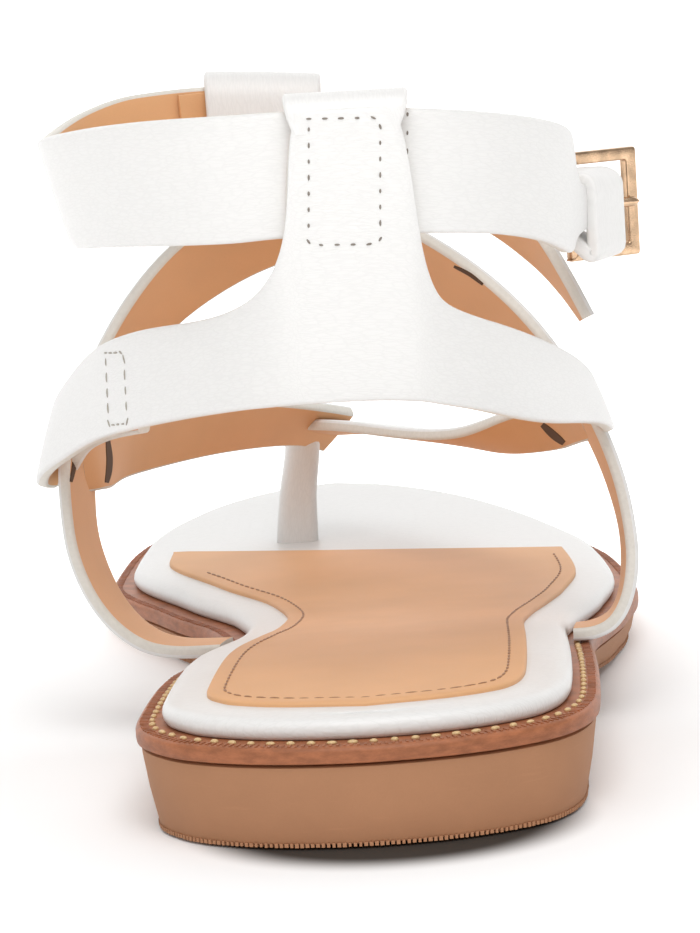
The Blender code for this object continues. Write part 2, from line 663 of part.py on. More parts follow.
def main():
    clear_scene()
    parts = make_collection("ankle_strap_sandal")
    cutters = make_collection("cutters")
    rubber = make_material("outsole_rubber", (0.36, 0.20, 0.11), 0.6)
    band = make_material("welt_leather", (0.30, 0.12, 0.05), 0.45)
    white = make_material("white_leather", (0.86, 0.85, 0.83), 0.45)
    tan = make_material("tan_lining", (0.80, 0.50, 0.30), 0.6)
    gold = make_material("gold_metal", (0.78, 0.56, 0.33), 0.25, 1.0)
    outline = footbed_outline()
    make_outsole(outline, parts, rubber)
    make_welt(outline, parts, band)
    footbed = make_footbed(outline, parts, white)
    post_slot = block("post_slot", POST_SLOT_CENTRE, POST_SLOT_SIZE, cutters)
    combine(footbed, [cutter(post_slot)], "DIFFERENCE")
    make_sock(outline, parts, tan)
    make_upper(parts, cutters, white)
    strap = strap_solid("ankle_strap", ANKLE_STRAP, STRAP_STEPS, STRAP_ACROSS, parts)
    strap.data.materials.append(white)
    middle = (*BUCKLE_AXIS, BUCKLE_FLOOR + BUCKLE_HEIGHT / 2)
    prong_slot = block("prong_slot", middle, PRONG_SLOT_SIZE, cutters)
    combine(strap, [cutter(prong_slot)], "DIFFERENCE")
    make_keeper(parts, cutters, white)
    make_buckle_frame(parts, cutters, gold)
    make_buckle_prong(parts, cutters, gold)


main()
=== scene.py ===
"""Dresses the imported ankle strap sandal: sole, padded footbed, leather straps, stitching, buckle and stage.

Tables are in millimetres: x to the outer side of the right foot, y from the back of the heel towards
the toe, z up from the floor. The frame's origin is the centre of the heel's rest.
"""

import math
from collections import namedtuple

import bmesh
import bpy
import numpy as np
from bpy.props import FloatProperty, FloatVectorProperty, PointerProperty
from mathutils import Matrix, Vector
from mathutils.bvhtree import BVHTree


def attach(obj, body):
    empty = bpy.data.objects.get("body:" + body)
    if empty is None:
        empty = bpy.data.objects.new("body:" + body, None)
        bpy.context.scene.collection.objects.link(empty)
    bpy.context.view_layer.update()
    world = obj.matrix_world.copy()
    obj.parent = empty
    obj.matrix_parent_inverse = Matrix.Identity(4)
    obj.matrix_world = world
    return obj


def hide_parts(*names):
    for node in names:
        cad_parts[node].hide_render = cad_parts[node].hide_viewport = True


bl_info = {
    "name": "Ankle strap sandal",
    "version": (1, 0, 0),
    "blender": (4, 5, 0),
    "location": "View3D > Sidebar > Sandal",
    "description": "Sole, padded footbed, leather straps, stitching, buckle and stage of one sandal",
    "category": "Object",
}

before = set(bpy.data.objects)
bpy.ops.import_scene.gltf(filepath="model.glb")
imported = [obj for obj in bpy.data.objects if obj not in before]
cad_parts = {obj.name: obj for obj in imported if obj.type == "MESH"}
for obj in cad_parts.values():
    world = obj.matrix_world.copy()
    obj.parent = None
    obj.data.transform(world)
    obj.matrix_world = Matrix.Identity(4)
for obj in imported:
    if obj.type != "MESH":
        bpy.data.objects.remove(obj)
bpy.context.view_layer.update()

MM = 0.001
SHOE = "shoe"

# Sole sizes in millimetres, as in the solids
FOOTBED_LENGTH = 240.0
HEEL_REST_CENTRE = 33.0
WELT_MARGIN = 4.0
WELT_SEAM = 0.3
WELT_THICKNESS = 2.8
FOOTBED_THICKNESS = 3.3
OUTSOLE_INSET = 0.6
HEEL_UNDERCUT = 2.0
FOREFOOT_UNDERCUT = 1.6
HEEL_BREAST = 68.0
HEEL_FADE = 28.0
TOP_EASE_RUN = 9.0
TOP_EASE_SAMPLES = 9
OUTLINE_STEPS = 150
CAP_ACROSS = 16
FOOTBED_SWELL = 0.25
SOCK_SWELL = 0.15
SOFT_ANGLE = 55.0
HARD_ANGLE = 40.0

# Rings of the stacked bodies in millimetres: inset from the outline, share of the height and lift
Ring = namedtuple("Ring", "inset share lift")
OUTSOLE_RINGS = [
    Ring(3.2, 0.0, 0.0), Ring(2.6, 0.0, 0.65), Ring(0.35, 0.0, 0.7), Ring(0.0, 0.0, 1.0),
    Ring(-0.08, 0.5, 0.0), Ring(0.0, 0.9, 0.0), Ring(0.12, 1.0, -0.25), Ring(0.55, 1.0, 0.0),
]
WELT_RINGS = [
    Ring(0.5, 0.0, 0.0), Ring(0.1, 0.0, 0.2), Ring(0.0, 0.35, 0.0), Ring(0.0, 0.7, 0.0),
    Ring(0.12, 1.0, -0.35), Ring(0.45, 1.0, -0.08), Ring(0.9, 1.0, 0.0),
]
FOOTBED_RINGS = [
    Ring(0.9, 0.0, 0.0), Ring(0.45, 0.0, 0.25), Ring(0.12, 0.0, 0.8), Ring(0.0, 0.0, 1.45),
    Ring(0.1, 0.0, 2.05), Ring(0.42, 0.0, 2.6), Ring(0.95, 0.0, 3.0), Ring(1.7, 0.0, 3.22),
    Ring(2.6, 0.0, FOOTBED_THICKNESS),
]
SOCK_RINGS = [Ring(0.0, 0.0, 0.0), Ring(0.0, 0.0, 0.55), Ring(0.12, 0.0, 0.78), Ring(0.4, 0.0, 0.88)]

# Teeth, ribs and stitches of the sole: lines and lifts in millimetres, sizes in metres
TOOTH_INSET = 0.15
TOOTH_LIFT = 0.7
TOOTH = (0.0005, 0.0006, 0.0006)
STITCHED_HEEL = 92.0
WELT_STITCH_LINE = 1.55
WELT_STITCH_LIFT = 0.12
WELT_STITCH_SHARE = 0.5
WELT_STITCH_RISE = 1.4
RIBS_PER_STITCH = 3
WELT_RIB_LINE = 2.75
WELT_RIB_LIFT = 0.02
WELT_RIB = (0.00042, 0.0012, 0.00026)
SOCK_STITCH_INSET = 2.6
SOCK_STITCH_LIFT = 0.98
SOCK_STITCH = (0.0019, 0.00042, 0.0003)
STITCH_LIFT = 0.00004
STITCH_LEAST = (0.72, 0.85, 0.85)
STITCH_MOST = (1.12, 1.1, 1.1)

# Buckle sizes in millimetres
BAR_RADIUS = 0.9
BAR_INSET = 0.5
BUCKLE_AXIS = (35.0, 57.9)
BUCKLE_FLOOR = 74.5
BUCKLE_HEIGHT = 16.4
BUCKLE_REACH = 11.0
BUCKLE_WIRE = 1.9
BUCKLE_TURN = math.radians(58.0)
BUCKLE_BEVEL = 0.38
BAR_SIDES = 32
PRONG_RADIUS = 0.75
PRONG_EYE = 2.0
PRONG_GAP = 0.3
PRONG_LAP = 0.5
PRONG_EYE_HALF = 1.05
PRONG_ROOT = 0.1
PRONG_TIP = 0.02
PRONG_STEPS = 24
PRONG_SIDES = 16
EYE_TURNS = (20.0, 340.0, 40)
EYE_SIDES = 14

# Keeper loop in millimetres
KEEPER_LOW = (32.8, 45.0, 78.5)
KEEPER_HIGH = (38.4, 55.4, 88.9)
KEEPER_FLARE = 4.8
KEEPER_DROP = 4.0
KEEPER_WALL = 2.1
KEEPER_CORNER = 1.15
KEEPER_CROWN = 0.05
KEEPER_STEP = 1.2
KEEPER_TURNS = range(0, 91, 15)

# Tan sock in millimetres
SOCK_INSET = 6.6
SOCK_BACK = 7.5
SOCK_FRONT_MEDIAL = 184.5
SOCK_FRONT_LATERAL = 166.0
SOCK_BULGE = 1.6
SOCK_STEPS = 90
SOCK_FRONT_STEPS = 16

# Smoothness of the straps
STRAP_STEPS = 8
STRAP_ACROSS = 10
CORNER_TURNS = (0.0, 30.0, 60.0)
CORNER_SHARE = 0.3
ANKLE_STATION = 0.45
TOE_POST_THICKNESS = 4.4
TOE_POST_CORNER = 1.7
LAP_WALL = 0.6
SLOT_STEPS = 6
SLOT_WALL = 0.24
SLOT_ENDS = (0.12, 0.88)
EASE_PASSES = 10
STRAP_SKINS = ("white_strap", "edge_paint", "tan_strap_lining")
WHITE_SKINS = ("white_strap",) * 3
BACKWARD = (0.0, -1.0, 0.0)
FORWARD = (0.0, 1.0, 0.4)

# Paper of the stage and its glow, in metres
PAPER = (0.94, 0.94, 0.94)
GLOW_RUN = (0.065, 0.28)
GLOW_TONE = (0.7, 0.7, 0.7)
FLOOR_HALF = 3.0
FLOOR_NEAR = -2.5
FLOOR_BEND = 1.2
FLOOR_CURVE = 0.8
FLOOR_TURNS = (0.15, math.pi / 2, 12)
FLOOR_TOP = 3.0
FLOOR_ANGLE = 60.0

# Soft shadow behind the heel: half sizes in metres, then its shift and edge in shares of them
HEEL_SHADOW = (0.027, 0.025)
HEEL_SHADOW_SHIFT = (0.11, -0.8, 0.0)
HEEL_SHADOW_EDGE = (0.8, 1.15)
HEEL_SHADOW_TONE = (0.05, 0.045, 0.04)

# Studio light: place, side in metres and power of each lamp, all aimed at one spot of the shoe
Lamp = namedtuple("Lamp", "name spot side power")
LAMPS = [
    Lamp("key", (0.05, -0.8, 0.95), 0.75, 6.6),
    Lamp("fill", (-0.9, -0.6, 0.75), 0.9, 1.6),
    Lamp("top", (0.1, -0.3, 1.25), 0.9, 4.2),
]
LAMP_AIM = (0.0, 0.06, 0.05)
WORLD_STRENGTH = 0.42

# Camera: the eye and its turns, for a picture whose long side is the height
EYE = (0.00668, -0.59255, 0.13644)
PITCH = 0.1467
YAW = -0.0117
ROLL = 0.0602
LENS = 158.2
SENSOR = 36.0
CLIP_START = 0.01

# Outline of the footbed: distance from the heel back, inner side and outer side
Width = namedtuple("Width", "y medial lateral")
FOOTBED_OUTLINE = [
    Width(0.0, 0.0, 0.0),
    Width(4.6, -19.2, 19.6),
    Width(10.0, -25.6, 26.0),
    Width(21.0, -29.3, 29.8),
    Width(50.0, -27.2, 31.2),
    Width(72.0, -22.9, 31.6),
    Width(88.0, -20.4, 33.2),
    Width(104.0, -19.4, 36.2),
    Width(122.0, -22.0, 40.0),
    Width(145.0, -31.8, 43.2),
    Width(175.0, -42.3, 41.0),
    Width(200.0, -40.6, 33.6),
    Width(222.0, -32.4, 21.6),
    Width(235.0, -20.4, 7.8),
    Width(240.0, -6.0, -6.0),
]

# Side profile: top of the outsole and its underside, along the length
Profile = namedtuple("Profile", "y top under")
SOLE_PROFILE = [
    Profile(-5.0, 12.4, 0.0),
    Profile(40.0, 12.4, 0.0),
    Profile(HEEL_BREAST - 3.0, 11.2, 0.0),
    Profile(HEEL_BREAST + 3.0, 10.4, 4.6),
    Profile(90.0, 8.3, 3.6),
    Profile(112.0, 6.4, 1.2),
    Profile(132.0, 5.6, 0.0),
    Profile(190.0, 5.6, 0.0),
    Profile(215.0, 6.9, 1.1),
    Profile(245.0, 9.8, 3.6),
]

# A strap is a strip between two edges: one row for each place along it, edge a and edge b
Edges = namedtuple("Edges", "ax ay az bx by bz")

# Ankle strap, lower edge then upper edge, from the fold at the buckle round the heel to the free end
ANKLE_STRAP = [
    Edges(32.3, 56.0, 80.2, 32.3, 56.0, 87.2),
    Edges(32.5, 57.7, 80.2, 32.5, 57.7, 87.2),
    Edges(33.2, 59.7, 80.2, 33.2, 59.7, 87.2),
    Edges(35.0, 60.4, 80.2, 35.0, 60.4, 87.2),
    Edges(36.8, 59.7, 80.2, 36.8, 59.7, 87.2),
    Edges(37.5, 57.7, 80.2, 37.5, 57.7, 87.2),
    Edges(36.7, 52.4, 80.2, 36.8, 52.4, 87.2),
    Edges(35.6, 44.8, 80.2, 35.8, 44.8, 87.2),
    Edges(34.3, 41.0, 79.6, 34.7, 41.0, 89.4),
    Edges(33.3, 38.2, 77.8, 34.0, 38.2, 95.4),
    Edges(32.0, 34.0, 78.8, 32.8, 34.0, 96.8),
    Edges(28.6, 26.5, 81.0, 29.4, 26.5, 98.4),
    Edges(20.5, 15.0, 83.5, 21.0, 15.0, 100.6),
    Edges(11.0, 9.2, 84.6, 11.0, 9.2, 102.0),
    Edges(0.0, 8.25, 85.0, 0.0, 8.25, 102.5),
    Edges(-7.0, 8.65, 85.0, -7.0, 8.65, 102.5),
    Edges(-14.0, 11.3, 84.5, -14.5, 11.3, 102.3),
    Edges(-23.0, 18.5, 84.0, -24.0, 18.5, 101.8),
    Edges(-31.5, 30.0, 83.3, -33.3, 30.0, 100.7),
    Edges(-38.5, 48.0, 82.0, -42.5, 48.0, 98.5),
    Edges(-40.0, 62.0, 82.5, -44.0, 62.0, 97.4),
    Edges(-36.5, 76.0, 84.0, -40.0, 76.5, 99.7),
    Edges(-29.0, 85.5, 84.4, -31.5, 86.0, 101.9),
    Edges(-20.0, 90.0, 84.6, -21.0, 90.3, 102.3),
    Edges(-10.0, 91.6, 84.6, -10.0, 91.6, 101.4),
    Edges(-1.0, 90.6, 83.6, 0.0, 90.0, 99.8),
    Edges(9.0, 88.0, 81.8, 11.5, 84.0, 95.0),
    Edges(20.6, 84.0, 79.2, 22.6, 74.0, 88.0),
    Edges(29.8, 78.0, 73.0, 30.6, 66.0, 78.4),
    Edges(34.0, 72.0, 68.6, 34.4, 61.0, 71.4),
    Edges(36.7, 66.0, 64.8, 36.9, 57.5, 66.0),
]

# Heel strap with its flare and stem, lower edge then upper edge, from the inner fold on the medial
# side round the heel to the inner fold on the lateral side
HEEL_STRAP = [
    Edges(-32.0, 65.0, 51.2, -30.6, 63.0, 62.0),
    Edges(-37.6, 75.4, 49.2, -35.8, 74.4, 59.6),
    Edges(-43.0, 86.6, 46.0, -40.8, 86.8, 54.8),
    Edges(-46.2, 94.0, 41.2, -42.8, 94.0, 52.0),
    Edges(-48.6, 96.6, 38.9, -45.2, 96.6, 51.2),
    Edges(-50.8, 93.0, 39.6, -47.4, 93.0, 51.2),
    Edges(-49.8, 86.0, 42.2, -46.2, 86.0, 54.4),
    Edges(-45.2, 74.0, 46.4, -42.0, 72.0, 60.4),
    Edges(-38.6, 59.0, 51.4, -36.6, 55.0, 66.4),
    Edges(-30.5, 39.0, 55.6, -28.6, 37.0, 70.4),
    Edges(-20.5, 21.0, 59.2, -19.4, 22.0, 72.8),
    Edges(-14.0, 12.6, 60.8, -13.2, 13.0, 75.6),
    Edges(-9.6, 8.8, 61.5, -9.4, 8.0, 79.4),
    Edges(-7.0, 7.4, 61.8, -7.0, 6.1, 85.0),
    Edges(-5.2, 6.8, 61.9, -5.0, 5.7, 102.8),
    Edges(2.4, 6.2, 62.0, 2.4, 5.6, 102.8),
    Edges(9.6, 7.2, 61.4, 9.6, 5.8, 102.8),
    Edges(11.2, 8.2, 61.0, 11.2, 7.2, 83.2),
    Edges(13.6, 10.2, 60.2, 13.2, 9.4, 75.6),
    Edges(18.2, 15.0, 58.6, 17.4, 15.2, 72.3),
    Edges(24.0, 24.0, 55.8, 22.8, 24.6, 69.2),
    Edges(30.0, 40.0, 52.5, 28.0, 37.6, 65.5),
    Edges(35.2, 58.0, 49.8, 33.0, 52.6, 61.2),
    Edges(39.2, 74.0, 47.0, 36.4, 70.4, 56.2),
    Edges(40.8, 86.0, 44.2, 37.6, 84.2, 53.0),
    Edges(39.0, 91.0, 44.4, 35.8, 90.2, 52.8),
    Edges(36.0, 89.0, 46.4, 33.0, 88.0, 53.6),
    Edges(34.6, 78.0, 48.4, 31.4, 76.0, 56.2),
    Edges(31.6, 66.0, 50.4, 28.8, 64.0, 58.8),
]

# Inner layer of the heel tab, folded over the ankle strap: medial edge then lateral edge
HEEL_TAB = [
    Edges(-5.0, 5.6, 99.4, 9.6, 5.8, 99.4),
    Edges(-6.1, 5.7, 102.7, 10.9, 5.8, 102.7),
    Edges(-6.3, 8.2, 104.2, 11.1, 8.6, 104.2),
    Edges(-6.1, 10.7, 102.6, 10.9, 11.4, 102.6),
    Edges(-5.0, 10.7, 92.0, 9.7, 11.4, 92.0),
    Edges(-5.0, 10.6, 84.0, 9.7, 11.2, 84.0),
    Edges(-5.6, 8.4, 79.5, 10.2, 9.0, 79.5),
    Edges(-5.6, 7.4, 76.0, 10.2, 8.2, 76.0),
]

# Front band from the sole's medial side over the instep to its lateral side, back edge then front edge
FRONT_BAND = [
    Edges(-23.1, 78.4, 13.9, -21.5, 92.0, 12.5),
    Edges(-28.4, 78.4, 13.9, -26.8, 92.6, 12.5),
    Edges(-34.0, 79.0, 14.6, -32.4, 93.4, 13.4),
    Edges(-40.0, 81.0, 18.4, -38.2, 95.6, 17.8),
    Edges(-44.4, 84.0, 24.8, -42.0, 98.6, 24.8),
    Edges(-46.6, 87.0, 32.4, -43.8, 101.8, 32.6),
    Edges(-47.0, 89.4, 42.0, -43.4, 104.6, 43.0),
    Edges(-44.6, 90.4, 51.0, -39.8, 106.4, 50.0),
    Edges(-40.0, 92.0, 61.0, -34.8, 107.0, 57.0),
    Edges(-34.0, 95.4, 70.0, -28.2, 108.4, 63.4),
    Edges(-26.4, 100.4, 77.4, -20.0, 111.4, 68.2),
    Edges(-17.0, 105.0, 82.0, -11.6, 114.6, 71.4),
    Edges(-5.5, 107.8, 84.0, -2.5, 116.9, 73.0),
    Edges(6.0, 105.6, 79.6, 6.6, 116.2, 68.4),
    Edges(15.4, 100.4, 74.4, 14.8, 112.6, 63.6),
    Edges(24.0, 93.6, 68.0, 22.2, 107.6, 59.0),
    Edges(31.0, 88.0, 60.2, 28.8, 103.0, 54.4),
    Edges(36.4, 85.0, 51.0, 34.0, 100.2, 50.0),
    Edges(40.2, 84.0, 42.4, 38.2, 98.8, 42.4),
    Edges(42.4, 82.0, 33.6, 41.4, 96.4, 33.6),
    Edges(43.0, 78.6, 26.4, 42.8, 92.6, 26.0),
    Edges(41.8, 74.0, 20.2, 42.2, 88.0, 19.4),
    Edges(38.6, 70.0, 16.0, 39.6, 84.0, 14.8),
    Edges(35.0, 68.6, 15.1, 35.6, 82.6, 13.6),
    Edges(32.5, 68.4, 15.1, 33.7, 82.0, 13.6),
]

# Front stem lapped on the band, up over the ankle strap and down inside: medial edge then lateral edge
FRONT_STEM = [
    Edges(-12.4, 116.0, 75.0, 3.4, 117.0, 75.2),
    Edges(-14.4, 110.4, 82.0, 1.0, 111.4, 82.4),
    Edges(-17.0, 102.0, 88.0, -1.6, 102.8, 88.0),
    Edges(-19.2, 96.4, 94.4, -2.2, 96.6, 94.2),
    Edges(-20.2, 94.4, 101.4, -2.0, 94.6, 100.2),
    Edges(-20.3, 91.0, 104.0, -1.9, 91.4, 102.6),
    Edges(-20.2, 87.6, 102.0, -2.0, 88.0, 100.6),
    Edges(-20.0, 87.0, 93.0, -2.2, 87.4, 93.0),
    Edges(-18.6, 87.6, 84.0, -2.4, 87.8, 83.8),
]

# Instep arms from under the front band to the toe post, back edge then front edge
MEDIAL_ARM = [
    Edges(-45.2, 94.6, 47.2, -44.6, 99.0, 37.6),
    Edges(-43.0, 98.0, 47.4, -42.2, 103.0, 37.2),
    Edges(-41.2, 105.6, 48.0, -41.4, 108.8, 36.4),
    Edges(-38.2, 119.0, 47.4, -40.2, 122.0, 36.0),
    Edges(-32.0, 134.0, 46.4, -35.2, 138.6, 35.2),
    Edges(-23.4, 150.0, 44.6, -27.0, 156.6, 34.4),
    Edges(-14.6, 165.0, 42.0, -18.0, 173.4, 33.0),
    Edges(-5.4, 179.0, 38.6, -11.0, 187.4, 31.0),
    Edges(-1.0, 185.0, 36.8, -7.4, 193.4, 29.0),
]
LATERAL_ARM = [
    Edges(35.9, 92.0, 49.6, 38.8, 95.0, 42.0),
    Edges(35.0, 101.0, 47.8, 37.2, 105.6, 40.0),
    Edges(31.6, 114.0, 45.4, 35.4, 119.4, 37.4),
    Edges(25.2, 127.0, 42.4, 31.2, 134.4, 35.0),
    Edges(16.6, 141.0, 37.6, 24.4, 150.4, 33.2),
    Edges(6.8, 156.0, 36.2, 14.8, 166.4, 33.8),
    Edges(-3.0, 171.0, 36.0, 3.6, 181.4, 33.6),
    Edges(-12.0, 184.0, 35.0, -6.6, 193.6, 32.0),
]

# Toe post down into the footbed, medial edge then lateral edge
TOE_POST = [
    Edges(-13.2, 187.6, 35.6, -7.0, 188.0, 35.8),
    Edges(-14.0, 189.6, 28.6, -7.6, 190.0, 28.6),
    Edges(-15.6, 191.0, 20.0, -8.6, 191.4, 20.0),
    Edges(-16.8, 191.6, 9.4, -8.8, 192.0, 9.4),
]

# Straps of the upper: at the station, a share of the length, the outer face looks the way of facing
Strap = namedtuple("Strap", "name rows thinning swell station facing")
STRAPS = [
    Strap("heel_strap", HEEL_STRAP, 0.0, 1.0, 0.52, BACKWARD),
    Strap("heel_tab", HEEL_TAB, 0.1, 0.0, 0.05, BACKWARD),
    Strap("front_band", FRONT_BAND, 0.0, 1.0, 0.5, FORWARD),
    Strap("front_stem", FRONT_STEM, 0.0, 1.0, 0.1, FORWARD),
    Strap("medial_arm", MEDIAL_ARM, 0.0, 1.0, 0.5, (-0.7, 0.3, 0.6)),
    Strap("lateral_arm", LATERAL_ARM, 0.0, 1.0, 0.5, (0.6, 0.2, 0.8)),
]

# Stitch boxes as corners in x and z, seen from behind the heel, and the steps along them
BEHIND = -60.0
HEEL_BOX_STEPS = 12
MEDIAL_BOX_STEPS = 8
STRAP_ROW_STEP = 0.8
HEEL_BOX = [(-2.7, 101.6), (7.1, 101.2), (6.1, 83.8), (-3.8, 84.2)]
MEDIAL_BOX = [(-36.0, 65.6), (-32.8, 66.4), (-32.9, 55.9), (-36.2, 54.7)]
STRAP_ROW = [(10.9, 101.2), (10.5, 95.0), (10.3, 88.2)]

# Slots that the heel strap passes through and the slit of the lateral branch, each drawn as a dark strip of
# painted shade on the face: width and places on the face
Slot = namedtuple("Slot", "pieces width places")
SLOTS = [
    Slot(("medial_arm",), 1.0,
         [(-39.6, 93.0, 46.8), (-39.6, 94.0, 44.1), (-39.9, 95.0, 41.4), (-40.4, 95.0, 39.4)]),
    Slot(("front_band",), 0.7, [(-44.5, 90.0, 46.0), (-45.1, 91.0, 43.2), (-45.9, 92.0, 40.3)]),
    Slot(("lateral_arm", "front_band"), 1.2,
         [(30.4, 96.0, 44.6), (32.2, 95.4, 42.8), (33.7, 94.8, 41.5)]),
    Slot(("front_band",), 0.6, [(17.8, 106.0, 70.0), (20.0, 103.0, 69.0), (22.2, 100.0, 67.4)]),
]

# Lapped end of the ankle strap's lining beside the front tab, lower edge then upper edge
LINING_LAP = [
    Edges(-23.6, 87.0, 85.2, -24.4, 87.3, 101.4),
    Edges(-20.0, 88.7, 85.3, -20.9, 89.0, 101.5),
    Edges(-14.0, 90.0, 85.3, -14.4, 90.2, 101.0),
]


def length_setting(label, description, default):
    return FloatProperty(name=label, description=description, default=default, unit="LENGTH")


def colour_setting(label, description, default):
    return FloatVectorProperty(name=label, description=description, default=default, subtype="COLOR")


class SandalSizes(bpy.types.PropertyGroup):
    """Sizes of the leather and of the thread"""

    leather: length_setting("Leather", "Thickness of a strap", 0.002)
    crown: length_setting("Crown", "Swell of a strap's face", 0.00012)
    stitch_pitch: length_setting("Stitch pitch", "Distance between strap stitches", 0.0022)
    stitch_length: length_setting("Stitch length", "Length of a strap stitch", 0.0008)
    thread: length_setting("Thread", "Radius of the strap thread", 0.00016)
    welt_pitch: length_setting("Welt pitch", "Distance between welt stitches", 0.0029)
    welt_thread: length_setting("Welt thread", "Radius of the welt thread", 0.0005)
    tooth_pitch: length_setting("Tooth pitch", "Distance between the teeth of the tread's rim", 0.00075)
    grain_length: length_setting("Grain length", "Length of a plate of the leather's grain", 0.0024)
    grain_width: length_setting("Grain width", "Width of a plate of the leather's grain", 0.00045)


class SandalColours(bpy.types.PropertyGroup):
    """Colours of the leather, rubber, metal and thread"""

    white: colour_setting("White leather", "Straps and footbed", (0.745, 0.735, 0.72))
    lining: colour_setting("Lining", "Inside of the straps and the sock", (0.71, 0.385, 0.185))
    edge: colour_setting("Cut edge", "Painted edges of the straps", (0.70, 0.67, 0.61))
    welt: colour_setting("Welt", "Burnished band above the outsole", (0.35, 0.125, 0.055))
    rubber: colour_setting("Outsole", "Moulded rubber of the outsole", (0.43, 0.215, 0.115))
    gold: colour_setting("Buckle", "Plated metal of the buckle", (0.66, 0.45, 0.29))
    thread: colour_setting("Strap thread", "Stitches of the straps", (0.22, 0.19, 0.16))
    pale_thread: colour_setting("Pale thread", "Stitches at the heel strap's inner side", (0.40, 0.37, 0.32))
    welt_thread: colour_setting("Welt thread", "Stitches of the welt", (0.68, 0.47, 0.23))
    # Painted shade: the colour of the dark strips laid where the slots are; the slots are real, but their
    # darkness is painted
    slot: colour_setting("Slot", "Depth of the slots in the straps", (0.085, 0.042, 0.020))
    sock_thread: colour_setting("Sock thread", "Stitches of the sock", (0.36, 0.18, 0.09))


class Flow:
    """A shader socket that takes part in sums: an expression on it adds its Math nodes."""

    def __init__(self, finish, socket):
        self.finish = finish
        self.socket = socket

    def combine(self, operation, first, second):
        node = self.finish.node("ShaderNodeMath", {"operation": operation}, {0: first, 1: second})
        return Flow(self.finish, node.outputs[0])

    def __add__(self, other):
        return self.combine("ADD", self, other)

    def __radd__(self, other):
        return self.combine("ADD", other, self)

    def __rsub__(self, other):
        return self.combine("SUBTRACT", other, self)

    def __mul__(self, other):
        return self.combine("MULTIPLY", self, other)

    def __rmul__(self, other):
        return self.combine("MULTIPLY", other, self)

    def ease(self, low, high):
        """0 below low, 1 above high and a soft step between."""
        node = self.finish.node("ShaderNodeMapRange", {"interpolation_type": "SMOOTHSTEP", "clamp": True},
                                {"Value": self, "From Min": low, "From Max": high})
        return Flow(self.finish, node.outputs["Result"])


class Finish:
    """A material whose Principled shader gets its sockets from values and flows."""

    def __init__(self, name, colour, roughness, metallic=0.0):
        self.material = bpy.data.materials.new(name)
        self.material.use_nodes = True
        self.tree = self.material.node_tree
        self.shader = self.tree.nodes["Principled BSDF"]
        self.set("Base Color", (*colour, 1.0))
        self.set("Roughness", roughness)
        self.set("Metallic", metallic)

    def put(self, socket, value):
        if isinstance(value, Flow):
            self.tree.links.new(value.socket, socket)
        else:
            socket.default_value = value

    def node(self, kind, settings, values):
        node = self.tree.nodes.new(kind)
        for key, value in settings.items():
            setattr(node, key, value)
        for key, value in values.items():
            self.put(node.inputs[key], value)
        return node

    def grid(self, source, scale):
        """UV or Object coordinates, stretched by a scale for each axis."""
        coordinates = self.node("ShaderNodeTexCoord", {}, {})
        mapping = self.node("ShaderNodeMapping", {}, {"Vector": Flow(self, coordinates.outputs[source])})
        mapping.inputs["Scale"].default_value = scale
        return Flow(self, mapping.outputs["Vector"])

    def millimetres(self, source, scale=(1.0, 1.0, 1.0)):
        """Coordinates in millimetres: a strap's UV map holds them, and Object coordinates are in metres."""
        unit = 1.0 if source == "UV" else 1.0 / MM
        return self.grid(source, tuple(axis * unit for axis in scale))

    def noise(self, where, scale, detail=3.0, roughness=0.55):
        node = self.node("ShaderNodeTexNoise", {},
                         {"Vector": where, "Scale": scale, "Detail": detail, "Roughness": roughness})
        return Flow(self, node.outputs["Fac"])

    def plates(self, where, scale, randomness=0.9):
        """Distance to the creases between the plates of a grain."""
        node = self.node("ShaderNodeTexVoronoi", {"feature": "DISTANCE_TO_EDGE"},
                         {"Vector": where, "Scale": scale, "Randomness": randomness})
        return Flow(self, node.outputs["Distance"])

    def blend(self, factor, first, second):
        node = self.node("ShaderNodeMix", {"data_type": "RGBA"}, {})
        self.put(node.inputs[0], factor)
        for socket, value in ((node.inputs[6], first), (node.inputs[7], second)):
            self.put(socket, value if isinstance(value, Flow) else (*value, 1.0))
        return Flow(self, node.outputs[2])

    def set(self, name, value):
        self.put(self.shader.inputs[name], value)

    def tones(self, factor, colour, dark, pale):
        """Base colour between a darker and a paler shade of one colour."""
        self.set("Base Color", self.blend(factor, shade(colour, dark), shade(colour, pale)))

    def bump(self, height, strength, distance):
        values = {"Strength": strength, "Distance": distance, "Height": height}
        self.set("Normal", Flow(self, self.node("ShaderNodeBump", {}, values).outputs["Normal"]))


def shade(colour, factor):
    return tuple(channel * factor for channel in colour)


def grained_leather(name, source, sizes, colours):
    """White leather embossed with small uneven plates, with painted shade darkening the creases between them.
    """
    finish = Finish(name, colours.white, 0.42)
    plate = (MM / sizes.grain_length, MM / sizes.grain_width, MM / sizes.grain_length)
    where = finish.millimetres(source, plate)
    crease = finish.plates(where, 1.0).ease(0.0, 0.16)
    fine = finish.noise(where, 3.2)
    broad = finish.noise(where, 0.11, 2.0)
    # Painted shade: the base colour darkens in the creases between the plates; the broad noise is tone that
    # differs at random.
    finish.tones(crease * 0.75 + broad * 0.25, colours.white, 0.965, 1.01)
    finish.set("Roughness", 0.36 + 0.16 * fine)
    finish.bump(crease * 0.7 + fine * 0.5, 0.2, 0.00012)
    finish.set("Coat Weight", 0.08)


def smooth_leather(name, source, colours):
    """Tan lining leather with a fine pore grain and soft tone changes."""
    finish = Finish(name, colours.lining, 0.55)
    where = finish.millimetres(source)
    pores = finish.noise(where, 2.6, 4.0)
    broad = finish.noise(where, 0.07, 2.0)
    finish.tones(0.3 * pores + 0.7 * broad, colours.lining, 0.86, 1.1)
    finish.set("Roughness", 0.48 + 0.18 * pores)
    finish.bump(pores, 0.18, 0.00012)


def painted_edge(colours):
    """Pale edge paint with faint fibres."""
    finish = Finish("edge_paint", colours.edge, 0.5)
    fibres = finish.noise(finish.millimetres("Object"), 1.6, 4.0)
    finish.tones(fibres, colours.edge, 0.86, 1.06)
    finish.bump(fibres, 0.25, 0.00015)


